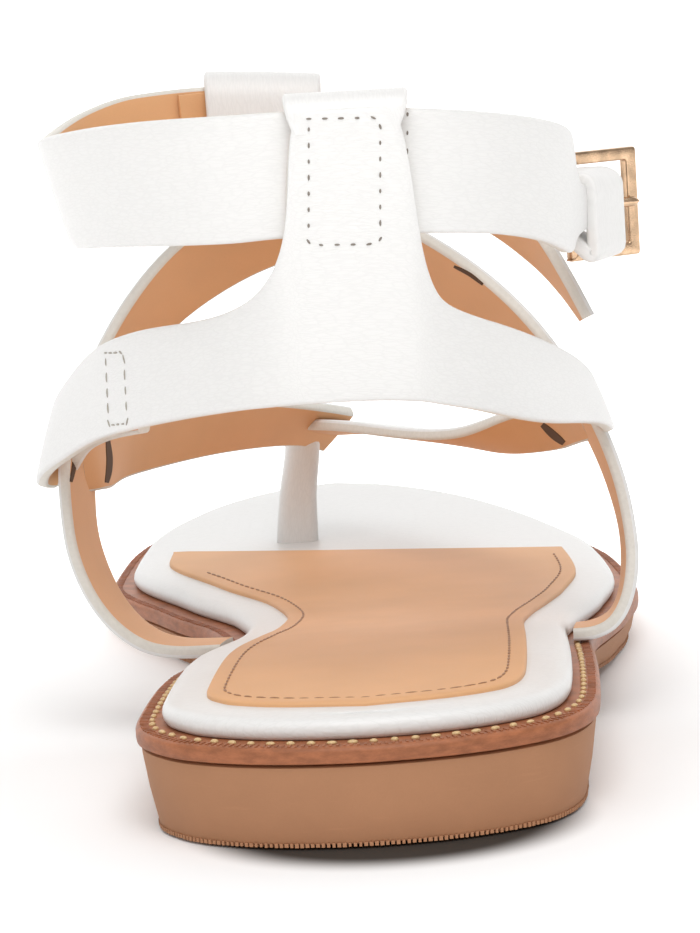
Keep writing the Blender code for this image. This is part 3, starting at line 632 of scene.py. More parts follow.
def burnished_welt(colours):
    """Reddish brown band with soft streaks along its length."""
    finish = Finish("burnished_welt", colours.welt, 0.42)
    where = finish.millimetres("Object", (1.0, 1.0, 3.0))
    streak = finish.noise(where, 0.35, 4.0)
    fine = finish.noise(where, 2.4, 3.0)
    finish.tones((streak * 0.8 + fine * 0.3).ease(0.3, 0.8), colours.welt, 0.72, 1.22)
    finish.set("Roughness", 0.36 + 0.2 * fine)
    finish.bump(fine * 0.6 + streak * 0.6, 0.25, 0.0002)
    finish.set("Specular IOR Level", 0.3)


def moulded_rubber(colours):
    """Matte tan rubber with a fine mould grain and faint scuffs."""
    finish = Finish("moulded_rubber", colours.rubber, 0.62)
    where = finish.millimetres("Object")
    grain = finish.noise(where, 3.0, 3.0)
    cloud = finish.noise(where, 0.09, 3.0)
    scuff = finish.noise(finish.millimetres("Object", (0.12, 0.12, 1.2)), 1.0, 4.0).ease(0.6, 0.8)
    finish.tones(cloud * 0.7 + grain * 0.25 + scuff * 0.25, colours.rubber, 0.86, 1.12)
    finish.set("Roughness", 0.56 + 0.14 * grain)
    finish.bump(grain, 0.16, 0.00015)
    finish.set("Specular IOR Level", 0.15)


def plated_metal(colours):
    """Polished warm gold with fine pits, slightly dull spots, and darker patches of painted reflection
    between them.
    """
    finish = Finish("plated_gold", colours.gold, 0.2, 1.0)
    where = finish.millimetres("Object")
    dull_spots_and_painted_reflections = finish.noise(where, 0.5, 3.0)
    pits = finish.noise(where, 5.0, 2.0)
    # Painted reflection: the shiny patches get a darker base colour in place of dark surroundings mirrored in
    # the metal, while the rougher dull spots are paler.
    finish.tones(dull_spots_and_painted_reflections.ease(0.3, 0.7), colours.gold, 0.74, 1.08)
    finish.set("Roughness", 0.14 + 0.2 * dull_spots_and_painted_reflections)
    finish.bump(pits, 0.12, 0.0001)


def twisted_thread(name, colour, roughness):
    """Sewing thread with an uneven twist."""
    finish = Finish(name, colour, roughness)
    twist = finish.noise(finish.millimetres("Object"), 3.5, 2.0)
    finish.tones(twist, colour, 0.7, 1.25)
    finish.bump(twist, 0.3, 0.0001)


def floor_white():
    """White paper that glows away from the shoe, with a soft shadow behind the heel that the camera sees."""
    finish = Finish("floor_white", PAPER, 0.7)
    heel = finish.grid("Object", (1 / HEEL_SHADOW[0], 1 / HEEL_SHADOW[1], 0.0))
    rim = finish.node("ShaderNodeVectorMath", {"operation": "DISTANCE"}, {0: heel, 1: HEEL_SHADOW_SHIFT})
    seen = Flow(finish, finish.node("ShaderNodeLightPath", {}, {}).outputs["Is Camera Ray"])
    lit = 1.0 - seen * (1.0 - Flow(finish, rim.outputs["Value"]).ease(*HEEL_SHADOW_EDGE))
    finish.set("Base Color", finish.blend(lit, HEEL_SHADOW_TONE, PAPER))
    where = finish.grid("Object", (1.0, 1.0, 1.0))
    away = finish.node("ShaderNodeVectorMath", {"operation": "LENGTH"}, {0: where})
    glow = Flow(finish, away.outputs["Value"]).ease(*GLOW_RUN)
    finish.set("Emission Color", finish.blend(glow, (0.0, 0.0, 0.0), GLOW_TONE))
    finish.set("Emission Strength", 1.0)
    finish.set("Specular IOR Level", 0.1)


def material(name):
    found = bpy.data.materials.get(name)
    if found is None:
        raise RuntimeError(f"run the finishes first: there is no {name}")
    return found


def place(x, y, z):
    """A place in the tables' millimetres as a vector in the frame's metres."""
    return Vector((x, y - HEEL_REST_CENTRE, z)) * MM


def placed(points):
    return (np.asarray(points, dtype=float) - np.array([0.0, HEEL_REST_CENTRE, 0.0])) * MM


def smooth_rows(rows, per_span):
    """Reads a table at even steps within each span, along a smooth curve through its rows."""
    table = np.array([tuple(row) for row in rows], dtype=float)
    steps = np.linalg.norm(np.diff(table, axis=0), axis=1)
    knots = np.concatenate([[0.0], np.cumsum(np.sqrt(steps))])
    chord = np.diff(table, axis=0) / np.diff(knots)[:, None]
    before, after = chord[:-1], chord[1:]
    turns = before * after <= 0
    total = np.where(turns, 1.0, before + after)
    slopes = np.vstack([chord[:1], np.where(turns, 0.0, 2 * before * after / total), chord[-1:]])
    count = per_span * (len(knots) - 1)
    spans = np.minimum(np.arange(count + 1) // per_span, len(knots) - 2)
    width = (knots[spans + 1] - knots[spans])[:, None]
    t = ((np.arange(count + 1) - spans * per_span) / per_span)[:, None]
    start = (2 * t**3 - 3 * t**2 + 1) * table[spans] + (t**3 - 2 * t**2 + t) * width * slopes[spans]
    end = (3 * t**2 - 2 * t**3) * table[spans + 1] + (t**3 - t**2) * width * slopes[spans + 1]
    return start + end


def eased(curve):
    """The same rows with their small kinks rounded off, both ends kept."""
    for _ in range(EASE_PASSES):
        curve = np.vstack([curve[:1], (curve[:-2] + 2 * curve[1:-1] + curve[2:]) / 4, curve[-1:]])
    return curve


def profile_at(y, column):
    """Height of the outsole's top or underside at a distance from the heel back."""
    places = [row.y for row in SOLE_PROFILE]
    heights = [getattr(row, column) for row in SOLE_PROFILE]
    return np.interp(y, places, heights)


def top_at(y):
    """The top of the outsole, eased over a short run so that the waist has no kinks."""
    run = np.linspace(-TOP_EASE_RUN, TOP_EASE_RUN, TOP_EASE_SAMPLES)
    return np.mean([profile_at(np.asarray(y) + step, "top") for step in run], axis=0)


def welt_top(y):
    return top_at(y) + WELT_THICKNESS


def footbed_top(y):
    return welt_top(y) + FOOTBED_THICKNESS


def footbed_outline():
    """The footbed's outline in plan, anticlockwise from the heel back along the lateral side."""
    table = np.array([tuple(row) for row in FOOTBED_OUTLINE], dtype=float)
    angle = np.arccos(1 - 2 * table[:, 0] / FOOTBED_LENGTH)
    fine = np.linspace(0.0, math.pi, OUTLINE_STEPS + 1)
    curve = smooth_rows(np.column_stack([angle, table[:, 1:]]), OUTLINE_STEPS)
    medial = np.interp(fine, curve[:, 0], curve[:, 1])
    lateral = np.interp(fine, curve[:, 0], curve[:, 2])
    along = FOOTBED_LENGTH * (1 - np.cos(fine)) / 2
    outer = np.column_stack([lateral, along])
    inner = np.column_stack([medial, along])
    return np.vstack([outer, inner[-2:0:-1]])


def offset_outline(points, distance):
    """Moves a closed outline outwards by a distance, or inwards where it is negative."""
    ahead = np.roll(points, -1, axis=0) - np.roll(points, 1, axis=0)
    length = np.linalg.norm(ahead, axis=1, keepdims=True)
    normal = np.column_stack([ahead[:, 1], -ahead[:, 0]]) / length
    shift = np.asarray(distance, dtype=float)
    return points + normal * (shift[:, None] if shift.ndim else shift)


def heel_half(ring, limit):
    """The run of a closed ring that lies behind a limit, from its inner side to its outer side."""
    front = int(np.argmax(ring[:, 1]))
    turned = np.roll(ring, -front, axis=0)
    return turned[turned[:, 1] < limit]


def lifted(outline, heights):
    return np.column_stack([outline, heights])


def stacked(outline, rings, margin, under, top, tuck=0.0):
    """The layers of a body, each ring at its share from under to top; a tuck draws in the lower rings."""
    layers = []
    for ring in rings:
        edge = offset_outline(outline, margin - tuck * (1 - ring.share) - ring.inset)
        layers.append(lifted(edge, under + (top - under) * ring.share + ring.lift))
    return layers


def sock_outline(outline):
    """The sock's outline: inside the footbed's, cut off along a slanted front edge."""
    inner = offset_outline(outline, -SOCK_INSET)
    half = len(inner) // 2
    lateral = inner[: half + 1]
    medial = np.vstack([inner[half:], inner[:1]])[::-1]
    turn = np.linspace(0.0, math.pi / 2, SOCK_STEPS + 1)
    body = SOCK_BACK + (SOCK_FRONT_LATERAL - SOCK_BACK) * (1 - np.cos(turn))
    front = np.linspace(SOCK_FRONT_LATERAL, SOCK_FRONT_MEDIAL, SOCK_FRONT_STEPS + 1)[1:]
    along = np.concatenate([body, front])
    inner_side = np.interp(along, medial[:, 1], medial[:, 0])
    corner = np.interp(SOCK_FRONT_LATERAL, lateral[:, 1], lateral[:, 0])
    outer_side = np.concatenate([
        np.interp(body, lateral[:, 1], lateral[:, 0]),
        np.interp(front, [SOCK_FRONT_LATERAL, SOCK_FRONT_MEDIAL], [corner, inner_side[-1]]),
    ])
    back = [[(outer_side[0] + inner_side[0]) / 2, SOCK_BACK - SOCK_BULGE]]
    outer_edge = np.column_stack([outer_side, along])
    inner_edge = np.column_stack([inner_side, along])
    return np.vstack([back, outer_edge, inner_edge[-2::-1]])


def finish_mesh(name, build, materials, sharp=SOFT_ANGLE):
    """Closes a mesh in work: faces out, smooth, its hard edges kept, one object at the origin."""
    bmesh.ops.remove_doubles(build, verts=build.verts, dist=1e-7)
    bmesh.ops.recalc_face_normals(build, faces=build.faces)
    mesh = bpy.data.meshes.new(name)
    build.to_mesh(mesh)
    build.free()
    for entry in materials:
        mesh.materials.append(material(entry))
    mesh.shade_smooth()
    mesh.set_sharp_from_angle(angle=math.radians(sharp))
    item = bpy.data.objects.new(name, mesh)
    bpy.context.scene.collection.objects.link(item)
    return item


def seat(item, body, slot, *nodes):
    """Sets a piece on its body and hides the solids that it stands for; the finish that it is given is not
    used.
    """
    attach(item, body)
    if nodes:
        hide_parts(*nodes)


def close_ring(build, ring, swell, flip):
    """Closes a ring of vertices by rows across it, lifted by a swell that is 0 at the ring."""
    half = len(ring) // 2
    rows = [[ring[0]]]
    shares = np.linspace(0.0, 1.0, CAP_ACROSS + 1)[1:-1]
    for i in range(1, half):
        start, end = ring[i], ring[-i]
        inside = []
        for share in shares:
            point = start.co.lerp(end.co, share)
            point.z += swell * MM * (1 - (2 * share - 1) ** 4)
            inside.append(build.verts.new(point))
        rows.append([start, *inside, end])
    rows.append([ring[half]])
    for low, high in zip(rows, rows[1:]):
        for j in range(max(len(low), len(high)) - 1):
            corners = [low[min(j, len(low) - 1)], low[min(j + 1, len(low) - 1)],
                       high[min(j + 1, len(high) - 1)], high[min(j, len(high) - 1)]]
            corners = list(dict.fromkeys(corners))
            build.faces.new(corners if flip else corners[::-1])


def layered(name, layers, swell, materials, sharp=SOFT_ANGLE):
    """A closed body through stacked rings, its underside flat and its top swelled."""
    build = bmesh.new()
    rings = [[build.verts.new(point) for point in placed(layer)] for layer in layers]
    count = len(rings[0])
    for low, high in zip(rings, rings[1:]):
        for i in range(count):
            j = (i + 1) % count
            build.faces.new((low[i], low[j], high[j], high[i]))
    close_ring(build, rings[0], 0.0, True)
    close_ring(build, rings[-1], swell, False)
    return finish_mesh(name, build, materials, sharp)


def section(width, wall, corner, crown):
    """Half of a strap's cross section: shares of the way across and heights above the middle."""
    shares, heights = [], []
    for turn in CORNER_TURNS:
        angle = math.radians(turn)
        shares.append(corner * (1 - math.cos(angle)) / width)
        heights.append(wall / 2 - corner * (1 - math.sin(angle)))
    for step in np.linspace(0.0, 1.0, STRAP_ACROSS + 1):
        shares.append((corner + (width - 2 * corner) * step) / width)
        heights.append(wall / 2 + crown * (1 - (2 * step - 1) ** 2))
    count = len(CORNER_TURNS)
    shares.extend(1 - share for share in shares[count - 1::-1])
    heights.extend(heights[count - 1::-1])
    return np.array(shares), np.array(heights)


def ribbon(name, curve, wall, crown, toward, materials, corner=None, closed=False):
    """A strap along a curve of edge rows: outer face, cut edges and lining, with a UV map in millimetres.

    toward is a station's share of the length and the direction that the outer face looks there."""
    low, high = curve[:, :3], curve[:, 3:]
    width = np.linalg.norm(high - low, axis=1)
    corner = corner or wall * CORNER_SHARE
    pairs = [section(value, wall, corner, crown) for value in width]
    shares = np.array([pair[0] for pair in pairs])
    heights = np.array([pair[1] for pair in pairs])
    middle = low[:, None] + (high - low)[:, None] * shares[:, :, None]
    if closed:
        ahead = np.roll(middle, -1, axis=0) - np.roll(middle, 1, axis=0)
    else:
        ahead = np.gradient(middle, axis=0)
    normal = np.cross(ahead, np.broadcast_to((high - low)[:, None], ahead.shape))
    normal /= np.linalg.norm(normal, axis=2, keepdims=True)
    share, direction = toward
    probe = normal[int(share * (len(curve) - 1)), shares.shape[1] // 2]
    normal *= np.sign(probe @ np.array(direction))
    outer = placed(middle + normal * heights[:, :, None])
    inner = placed(middle - normal * heights[:, :, None])
    run = np.concatenate([[0.0], np.cumsum(np.linalg.norm(np.diff((low + high) / 2, axis=0), axis=1))])
    build = bmesh.new()
    uv = build.loops.layers.uv.new("strap")
    marks = {}
    stations, columns = shares.shape
    sides = []
    for face_points in (outer, inner):
        grid = []
        for i in range(stations):
            row = [build.verts.new(point) for point in face_points[i]]
            for j, vertex in enumerate(row):
                marks[vertex] = (run[i], shares[i, j] * width[i])
            grid.append(row)
        sides.append(grid)
    top, under = sides
    last = stations if closed else stations - 1
    rim = len(CORNER_TURNS)
    for i in range(last):
        k = (i + 1) % stations
        for j in range(columns - 1):
            build.faces.new((top[i][j], top[k][j], top[k][j + 1], top[i][j + 1])).material_index = 0
            back = build.faces.new((under[i][j], under[i][j + 1], under[k][j + 1], under[k][j]))
            back.material_index = 2 if rim <= j < columns - 1 - rim else 1
        for j in (0, columns - 1):
            build.faces.new((top[i][j], under[i][j], under[k][j], top[k][j])).material_index = 1
    if not closed:
        for i in (0, stations - 1):
            for j in range(columns - 1):
                build.faces.new((top[i][j], top[i][j + 1], under[i][j + 1], under[i][j])).material_index = 1
    for face in build.faces:
        for loop in face.loops:
            loop[uv].uv = marks[loop.vert]
    return finish_mesh(name, build, materials)


def sweep(build, path, radial, upright, sides):
    """A closed tube along a level path, with its own radii across and up at each point."""
    rings = []
    points = [Vector(point) for point in path]
    for i, point in enumerate(points):
        ahead = points[min(i + 1, len(points) - 1)] - points[max(i - 1, 0)]
        across = Vector((ahead.y, -ahead.x, 0.0)).normalized()
        ring = []
        for k in range(sides):
            angle = 2 * math.pi * k / sides
            shift = across * (radial[i] * math.cos(angle)) + Vector((0.0, 0.0, upright[i] * math.sin(angle)))
            ring.append(build.verts.new((point + shift) * MM))
        rings.append(ring)
    for low, high in zip(rings, rings[1:]):
        for k in range(sides):
            m = (k + 1) % sides
            build.faces.new((low[k], low[m], high[m], high[k]))
    build.faces.new(rings[0])
    build.faces.new(rings[-1][::-1])


def run_length(points, pitch):
    """Points at even steps along a path."""
    points = np.asarray(points, dtype=float)
    reach = np.concatenate([[0.0], np.cumsum(np.linalg.norm(np.diff(points, axis=0), axis=1))])
    wanted = np.arange(0.0, reach[-1], pitch)
    return np.column_stack([np.interp(wanted, reach, points[:, axis]) for axis in range(points.shape[1])])


def repeat_tree(name, block):
    """A Geometry Nodes tree that sets stitches, or small blocks, along a path of edges."""
    tree = bpy.data.node_groups.new(name, "GeometryNodeTree")
    face = tree.interface
    face.new_socket("Path", in_out="INPUT", socket_type="NodeSocketGeometry")
    sockets = {}
    for label, kind in (("Pitch", "NodeSocketFloat"), ("Size", "NodeSocketVector"),
                        ("Material", "NodeSocketMaterial")):
        sockets[label] = face.new_socket(label, in_out="INPUT", socket_type=kind).identifier
    face.new_socket("Result", in_out="OUTPUT", socket_type="NodeSocketGeometry")
    kinds = {
        "entry": "NodeGroupInput",
        "leave": "NodeGroupOutput",
        "curve": "GeometryNodeMeshToCurve",
        "step": "GeometryNodeResampleCurve",
        "unit": "GeometryNodeMeshCube" if block else "GeometryNodeMeshUVSphere",
        "scale": "GeometryNodeTransform",
        "ahead": "GeometryNodeInputTangent",
        "lay": "FunctionNodeAlignRotationToVector",
        "stand": "FunctionNodeAlignRotationToVector",
        "uneven": "FunctionNodeRandomValue",
        "spread": "GeometryNodeInstanceOnPoints",
        "realise": "GeometryNodeRealizeInstances",
        "smooth": "GeometryNodeSetShadeSmooth",
        "paint": "GeometryNodeSetMaterial",
    }
    nodes = {key: tree.nodes.new(kind) for key, kind in kinds.items()}
    for key, setting, value in (("step", "mode", "LENGTH"), ("lay", "axis", "X"), ("stand", "axis", "Z"),
                                ("stand", "pivot_axis", "X"), ("uneven", "data_type", "FLOAT_VECTOR")):
        setattr(nodes[key], setting, value)
    values = [
        ("stand", "Vector", (0.0, 0.0, 1.0)),
        ("uneven", "Min", STITCH_LEAST),
        ("uneven", "Max", STITCH_MOST),
        ("smooth", "Shade Smooth", not block),
    ]
    if block:
        values.append(("unit", "Size", (1.0, 1.0, 1.0)))
    else:
        values += [("unit", "Segments", 8), ("unit", "Rings", 6), ("unit", "Radius", 0.5)]
    for key, socket, value in values:
        nodes[key].inputs[socket].default_value = value
    for source, output, target, socket in (
        ("entry", "Path", "curve", "Mesh"),
        ("curve", "Curve", "step", "Curve"),
        ("entry", "Pitch", "step", "Length"),
        ("unit", "Mesh", "scale", "Geometry"),
        ("entry", "Size", "scale", "Scale"),
        ("ahead", "Tangent", "lay", "Vector"),
        ("lay", "Rotation", "stand", "Rotation"),
        ("step", "Curve", "spread", "Points"),
        ("scale", "Geometry", "spread", "Instance"),
        ("stand", "Rotation", "spread", "Rotation"),
        ("uneven", "Value", "spread", "Scale"),
        ("spread", "Instances", "realise", "Geometry"),
        ("realise", "Geometry", "smooth", "Geometry"),
        ("smooth", "Geometry", "paint", "Geometry"),
        ("entry", "Material", "paint", "Material"),
        ("paint", "Geometry", "leave", "Result"),
    ):
        tree.links.new(nodes[source].outputs[output], nodes[target].inputs[socket])
    return tree, sockets


def repeated(name, paths, pitch, size, finish, block=False):
    """Stitches or blocks along paths in metres, as one plain mesh."""
    mesh = bpy.data.meshes.new(name)
    points = np.vstack(paths)
    edges = []
    count = 0
    for path in paths:
        edges.extend((count + i, count + i + 1) for i in range(len(path) - 1))
        count += len(path)
    mesh.from_pydata([tuple(point) for point in points], edges, [])
    item = bpy.data.objects.new(name, mesh)
    bpy.context.scene.collection.objects.link(item)
    tree, sockets = repeat_tree(name, block)
    step = item.modifiers.new("repeat", "NODES")
    step.node_group = tree
    step[sockets["Pitch"]] = pitch
    step[sockets["Size"]] = size
    step[sockets["Material"]] = material(finish)
    graph = bpy.context.evaluated_depsgraph_get()
    solid = bpy.data.meshes.new_from_object(item.evaluated_get(graph))
    item.modifiers.clear()
    item.data = solid
    if not solid.polygons:
        raise RuntimeError(f"{name} came out empty")
    return item


def face_tree(piece):
    mesh = piece.data
    return BVHTree.FromPolygons([v.co for v in mesh.vertices], [p.vertices for p in mesh.polygons])


def on_face(piece, places, depth=0.0):
    """Points of a piece's face, seen from behind the heel at each x and z in millimetres."""
    tree = face_tree(piece)
    found = []
    for x, z in places:
        hit = tree.ray_cast(place(x, BEHIND, z), Vector((0.0, 1.0, 0.0)))
        if hit[0] is None:
            raise RuntimeError(f"no face of {piece.name} at {x}, {z}")
        found.append(hit[0] + hit[1] * depth)
    return np.array([tuple(point) for point in found])


def seen_face(names, places):
    """Points and normals of the nearest face on the lines from the camera to places in millimetres."""
    trees = [face_tree(bpy.data.objects[name]) for name in names]
    eye = Vector(EYE)
    points, normals = [], []
    for spot in places:
        ahead = (place(*spot) - eye).normalized()
        hits = [hit for hit in (tree.ray_cast(eye, ahead) for tree in trees) if hit[0] is not None]
        if not hits:
            raise RuntimeError(f"no face of {names} on the line to {spot}")
        spot_on, normal = min(hits, key=lambda hit: hit[3])[:2]
        points.append(spot_on / MM + Vector((0.0, HEEL_REST_CENTRE, 0.0)))
        normals.append(normal if normal.dot(ahead) < 0 else -normal)
    return np.array([tuple(p) for p in points]), np.array([tuple(n) for n in normals])


def box_path(corners, steps):
    """A closed path round the corners, in even steps along each side."""
    path = []
    for start, end in zip(corners, corners[1:] + corners[:1]):
        for step in range(steps):
            share = step / steps
            path.append(tuple(a + (b - a) * share for a, b in zip(start, end)))
    return path


def closed_path(points):
    return np.vstack([points, points[:1]])


class SANDAL_OT_finishes(bpy.types.Operator):
    """Make the materials of the leather, rubber, metal and thread"""

    bl_idname = "sandal.finishes"
    bl_label = "Finishes"

    def execute(self, context):
        sizes, colours = context.scene.sandal_sizes, context.scene.sandal_colours
        grained_leather("white_strap", "UV", sizes, colours)
        grained_leather("white_footbed", "Object", sizes, colours)
        smooth_leather("tan_strap_lining", "UV", colours)
        smooth_leather("tan_sock", "Object", colours)
        painted_edge(colours)
        burnished_welt(colours)
        moulded_rubber(colours)
        plated_metal(colours)
        Finish("slot_shadow", colours.slot, 0.8)
        twisted_thread("strap_thread", colours.thread, 0.6)
        twisted_thread("pale_thread", colours.pale_thread, 0.6)
        twisted_thread("welt_thread", colours.welt_thread, 0.35)
        twisted_thread("sock_thread", colours.sock_thread, 0.5)
        return {"FINISHED"}


class SANDAL_OT_outsole(bpy.types.Operator):
    """Make the rubber outsole with the toothed rim of its tread"""

    bl_idname = "sandal.outsole"
    bl_label = "Outsole"

    def execute(self, context):
        outline = footbed_outline()
        along = outline[:, 1]
        under = profile_at(along, "under")
        rim = WELT_MARGIN - OUTSOLE_INSET
        heel_part = np.clip((HEEL_BREAST - along) / HEEL_FADE + 0.5, 0, 1)
        tuck = FOREFOOT_UNDERCUT + (HEEL_UNDERCUT - FOREFOOT_UNDERCUT) * heel_part
        layers = stacked(outline, OUTSOLE_RINGS, rim, under, top_at(along), tuck)
        sole = layered("outsole_unit", layers, 0.0, ["moulded_rubber"], HARD_ANGLE)
        seat(sole, SHOE, "outsole_rubber", "outsole")
        rim_ring = offset_outline(outline, rim - tuck - TOOTH_INSET)
        path = closed_path(placed(lifted(rim_ring, under + TOOTH_LIFT)))
        pitch = context.scene.sandal_sizes.tooth_pitch
        teeth = repeated("tread_teeth", [path], pitch, TOOTH, "moulded_rubber", True)
        seat(teeth, SHOE, "outsole_rubber")
        return {"FINISHED"}


class SANDAL_OT_welt(bpy.types.Operator):
    """Make the welt and the row of stitches on its top"""

    bl_idname = "sandal.welt"
    bl_label = "Welt"

    def execute(self, context):
        sizes = context.scene.sandal_sizes
        outline = footbed_outline()
        under = top_at(outline[:, 1]) + WELT_SEAM
        top = welt_top(outline[:, 1])
        layers = stacked(outline, WELT_RINGS, WELT_MARGIN, under, top)
        band = layered("welt_band", layers, 0.0, ["burnished_welt"])
        seat(band, SHOE, "welt_leather", "welt")
        ring = offset_outline(outline, WELT_STITCH_LINE)
        path = placed(heel_half(lifted(ring, top + WELT_STITCH_LIFT), STITCHED_HEEL))
        thread = sizes.welt_thread
        size = (sizes.welt_pitch * WELT_STITCH_SHARE, thread * 2, thread * WELT_STITCH_RISE)
        rows = repeated("welt_stitches", [path], sizes.welt_pitch, size, "welt_thread")
        seat(rows, SHOE, "welt_leather")
        ring = offset_outline(outline, WELT_RIB_LINE)
        path = closed_path(placed(lifted(ring, top + WELT_RIB_LIFT)))
        pitch = sizes.welt_pitch / RIBS_PER_STITCH
        ribs = repeated("welt_ribs", [path], pitch, WELT_RIB, "burnished_welt", True)
        seat(ribs, SHOE, "welt_leather")
        return {"FINISHED"}


class SANDAL_OT_footbed(bpy.types.Operator):
    """Make the white padded footbed with its rounded edge"""

    bl_idname = "sandal.footbed"
    bl_label = "Footbed"

    def execute(self, context):
        outline = footbed_outline()
        seat_height = welt_top(outline[:, 1])
        layers = stacked(outline, FOOTBED_RINGS, 0.0, seat_height, seat_height)
        pad = layered("footbed_pad", layers, FOOTBED_SWELL, ["white_footbed"])
        seat(pad, SHOE, "white_leather", "footbed")
        return {"FINISHED"}


class SANDAL_OT_sock(bpy.types.Operator):
    """Make the tan sock and the stitch line inside its border"""

    bl_idname = "sandal.sock"
    bl_label = "Sock"

    def execute(self, context):
        sizes = context.scene.sandal_sizes
        outline = sock_outline(footbed_outline())
        layers = []
        for ring in SOCK_RINGS:
            edge = offset_outline(outline, -ring.inset)
            layers.append(lifted(edge, footbed_top(edge[:, 1]) + ring.lift))
        sock = layered("sock_sheet", layers, SOCK_SWELL, ["tan_sock"])
        seat(sock, SHOE, "tan_lining", "insole_sock")
        line = offset_outline(outline, -SOCK_STITCH_INSET)
        line = lifted(line, footbed_top(line[:, 1]) + SOCK_STITCH_LIFT)
        path = placed(heel_half(line, SOCK_FRONT_LATERAL - SOCK_INSET))
        rows = repeated("sock_stitches", [path], sizes.stitch_pitch, SOCK_STITCH, "sock_thread")
        seat(rows, SHOE, "tan_lining")
        return {"FINISHED"}


class SANDAL_OT_straps(bpy.types.Operator):
    """Make the heel strap, front band, stem, arms and toe post"""

    bl_idname = "sandal.straps"
    bl_label = "Straps"

    def execute(self, context):
        sizes = context.scene.sandal_sizes
        wall, crown = sizes.leather / MM, sizes.crown / MM
        for strap in STRAPS:
            curve = eased(smooth_rows(strap.rows, STRAP_STEPS))
            toward = (strap.station, strap.facing)
            item = ribbon(strap.name, curve, wall - strap.thinning, crown * strap.swell, toward, STRAP_SKINS)
            seat(item, SHOE, "white_leather", "upper")
        post = ribbon("toe_post", smooth_rows(TOE_POST, STRAP_STEPS), TOE_POST_THICKNESS, crown,
                      (0.5, BACKWARD), WHITE_SKINS, TOE_POST_CORNER)
        seat(post, SHOE, "white_leather", "upper")
        return {"FINISHED"}


class SANDAL_OT_ankle_strap(bpy.types.Operator):
    """Make the ankle strap from its fold at the buckle to its free end"""

    bl_idname = "sandal.ankle_strap"
    bl_label = "Ankle strap"

    def execute(self, context):
        sizes = context.scene.sandal_sizes
        curve = smooth_rows(ANKLE_STRAP, STRAP_STEPS)
        toward = (ANKLE_STATION, BACKWARD)
        strap = ribbon("ankle_band", curve, sizes.leather / MM, sizes.crown / MM, toward, STRAP_SKINS)
        seat(strap, SHOE, "white_leather", "ankle_strap")
        return {"FINISHED"}


class SANDAL_OT_keeper(bpy.types.Operator):
    """Make the leather keeper loop beside the buckle"""

    bl_idname = "sandal.keeper"
    bl_label = "Keeper loop"

    def execute(self, context):
        half = KEEPER_WALL / 2
        left, floor = KEEPER_LOW[0] + half, KEEPER_LOW[2] + half
        right, ceiling = KEEPER_HIGH[0] - half, KEEPER_HIGH[2] - half
        rows = []
        corners = [(left, floor, 180.0), (right, floor, 270.0), (right, ceiling, 0.0), (left, ceiling, 90.0)]
        for x, z, start in corners:
            inward_x = KEEPER_CORNER if x == left else -KEEPER_CORNER
            inward_z = KEEPER_CORNER if z == floor else -KEEPER_CORNER
            for turn in KEEPER_TURNS:
                angle = math.radians(start + turn)
                px = x + inward_x + KEEPER_CORNER * math.cos(angle)
                pz = z + inward_z + KEEPER_CORNER * math.sin(angle)
                across = (px - left) / (right - left)
                hang = pz - KEEPER_DROP * across * (ceiling - pz) / (ceiling - floor)
                rows.append((px, KEEPER_LOW[1], hang, px + KEEPER_FLARE * across, KEEPER_HIGH[1], hang))
        dense = []
        for start, end in zip(rows, rows[1:] + rows[:1]):
            count = max(1, round(math.dist(start, end) / KEEPER_STEP))
            for step in range(count):
                share = step / count
                dense.append(tuple(a + (b - a) * share for a, b in zip(start, end)))
        toward = (0.0, (-1.0, 0.0, 0.0))
        curve = np.array(dense)
        loop = ribbon("keeper_band", curve, KEEPER_WALL, KEEPER_CROWN, toward, WHITE_SKINS, closed=True)
        seat(loop, SHOE, "white_leather", "keeper_loop")
        return {"FINISHED"}


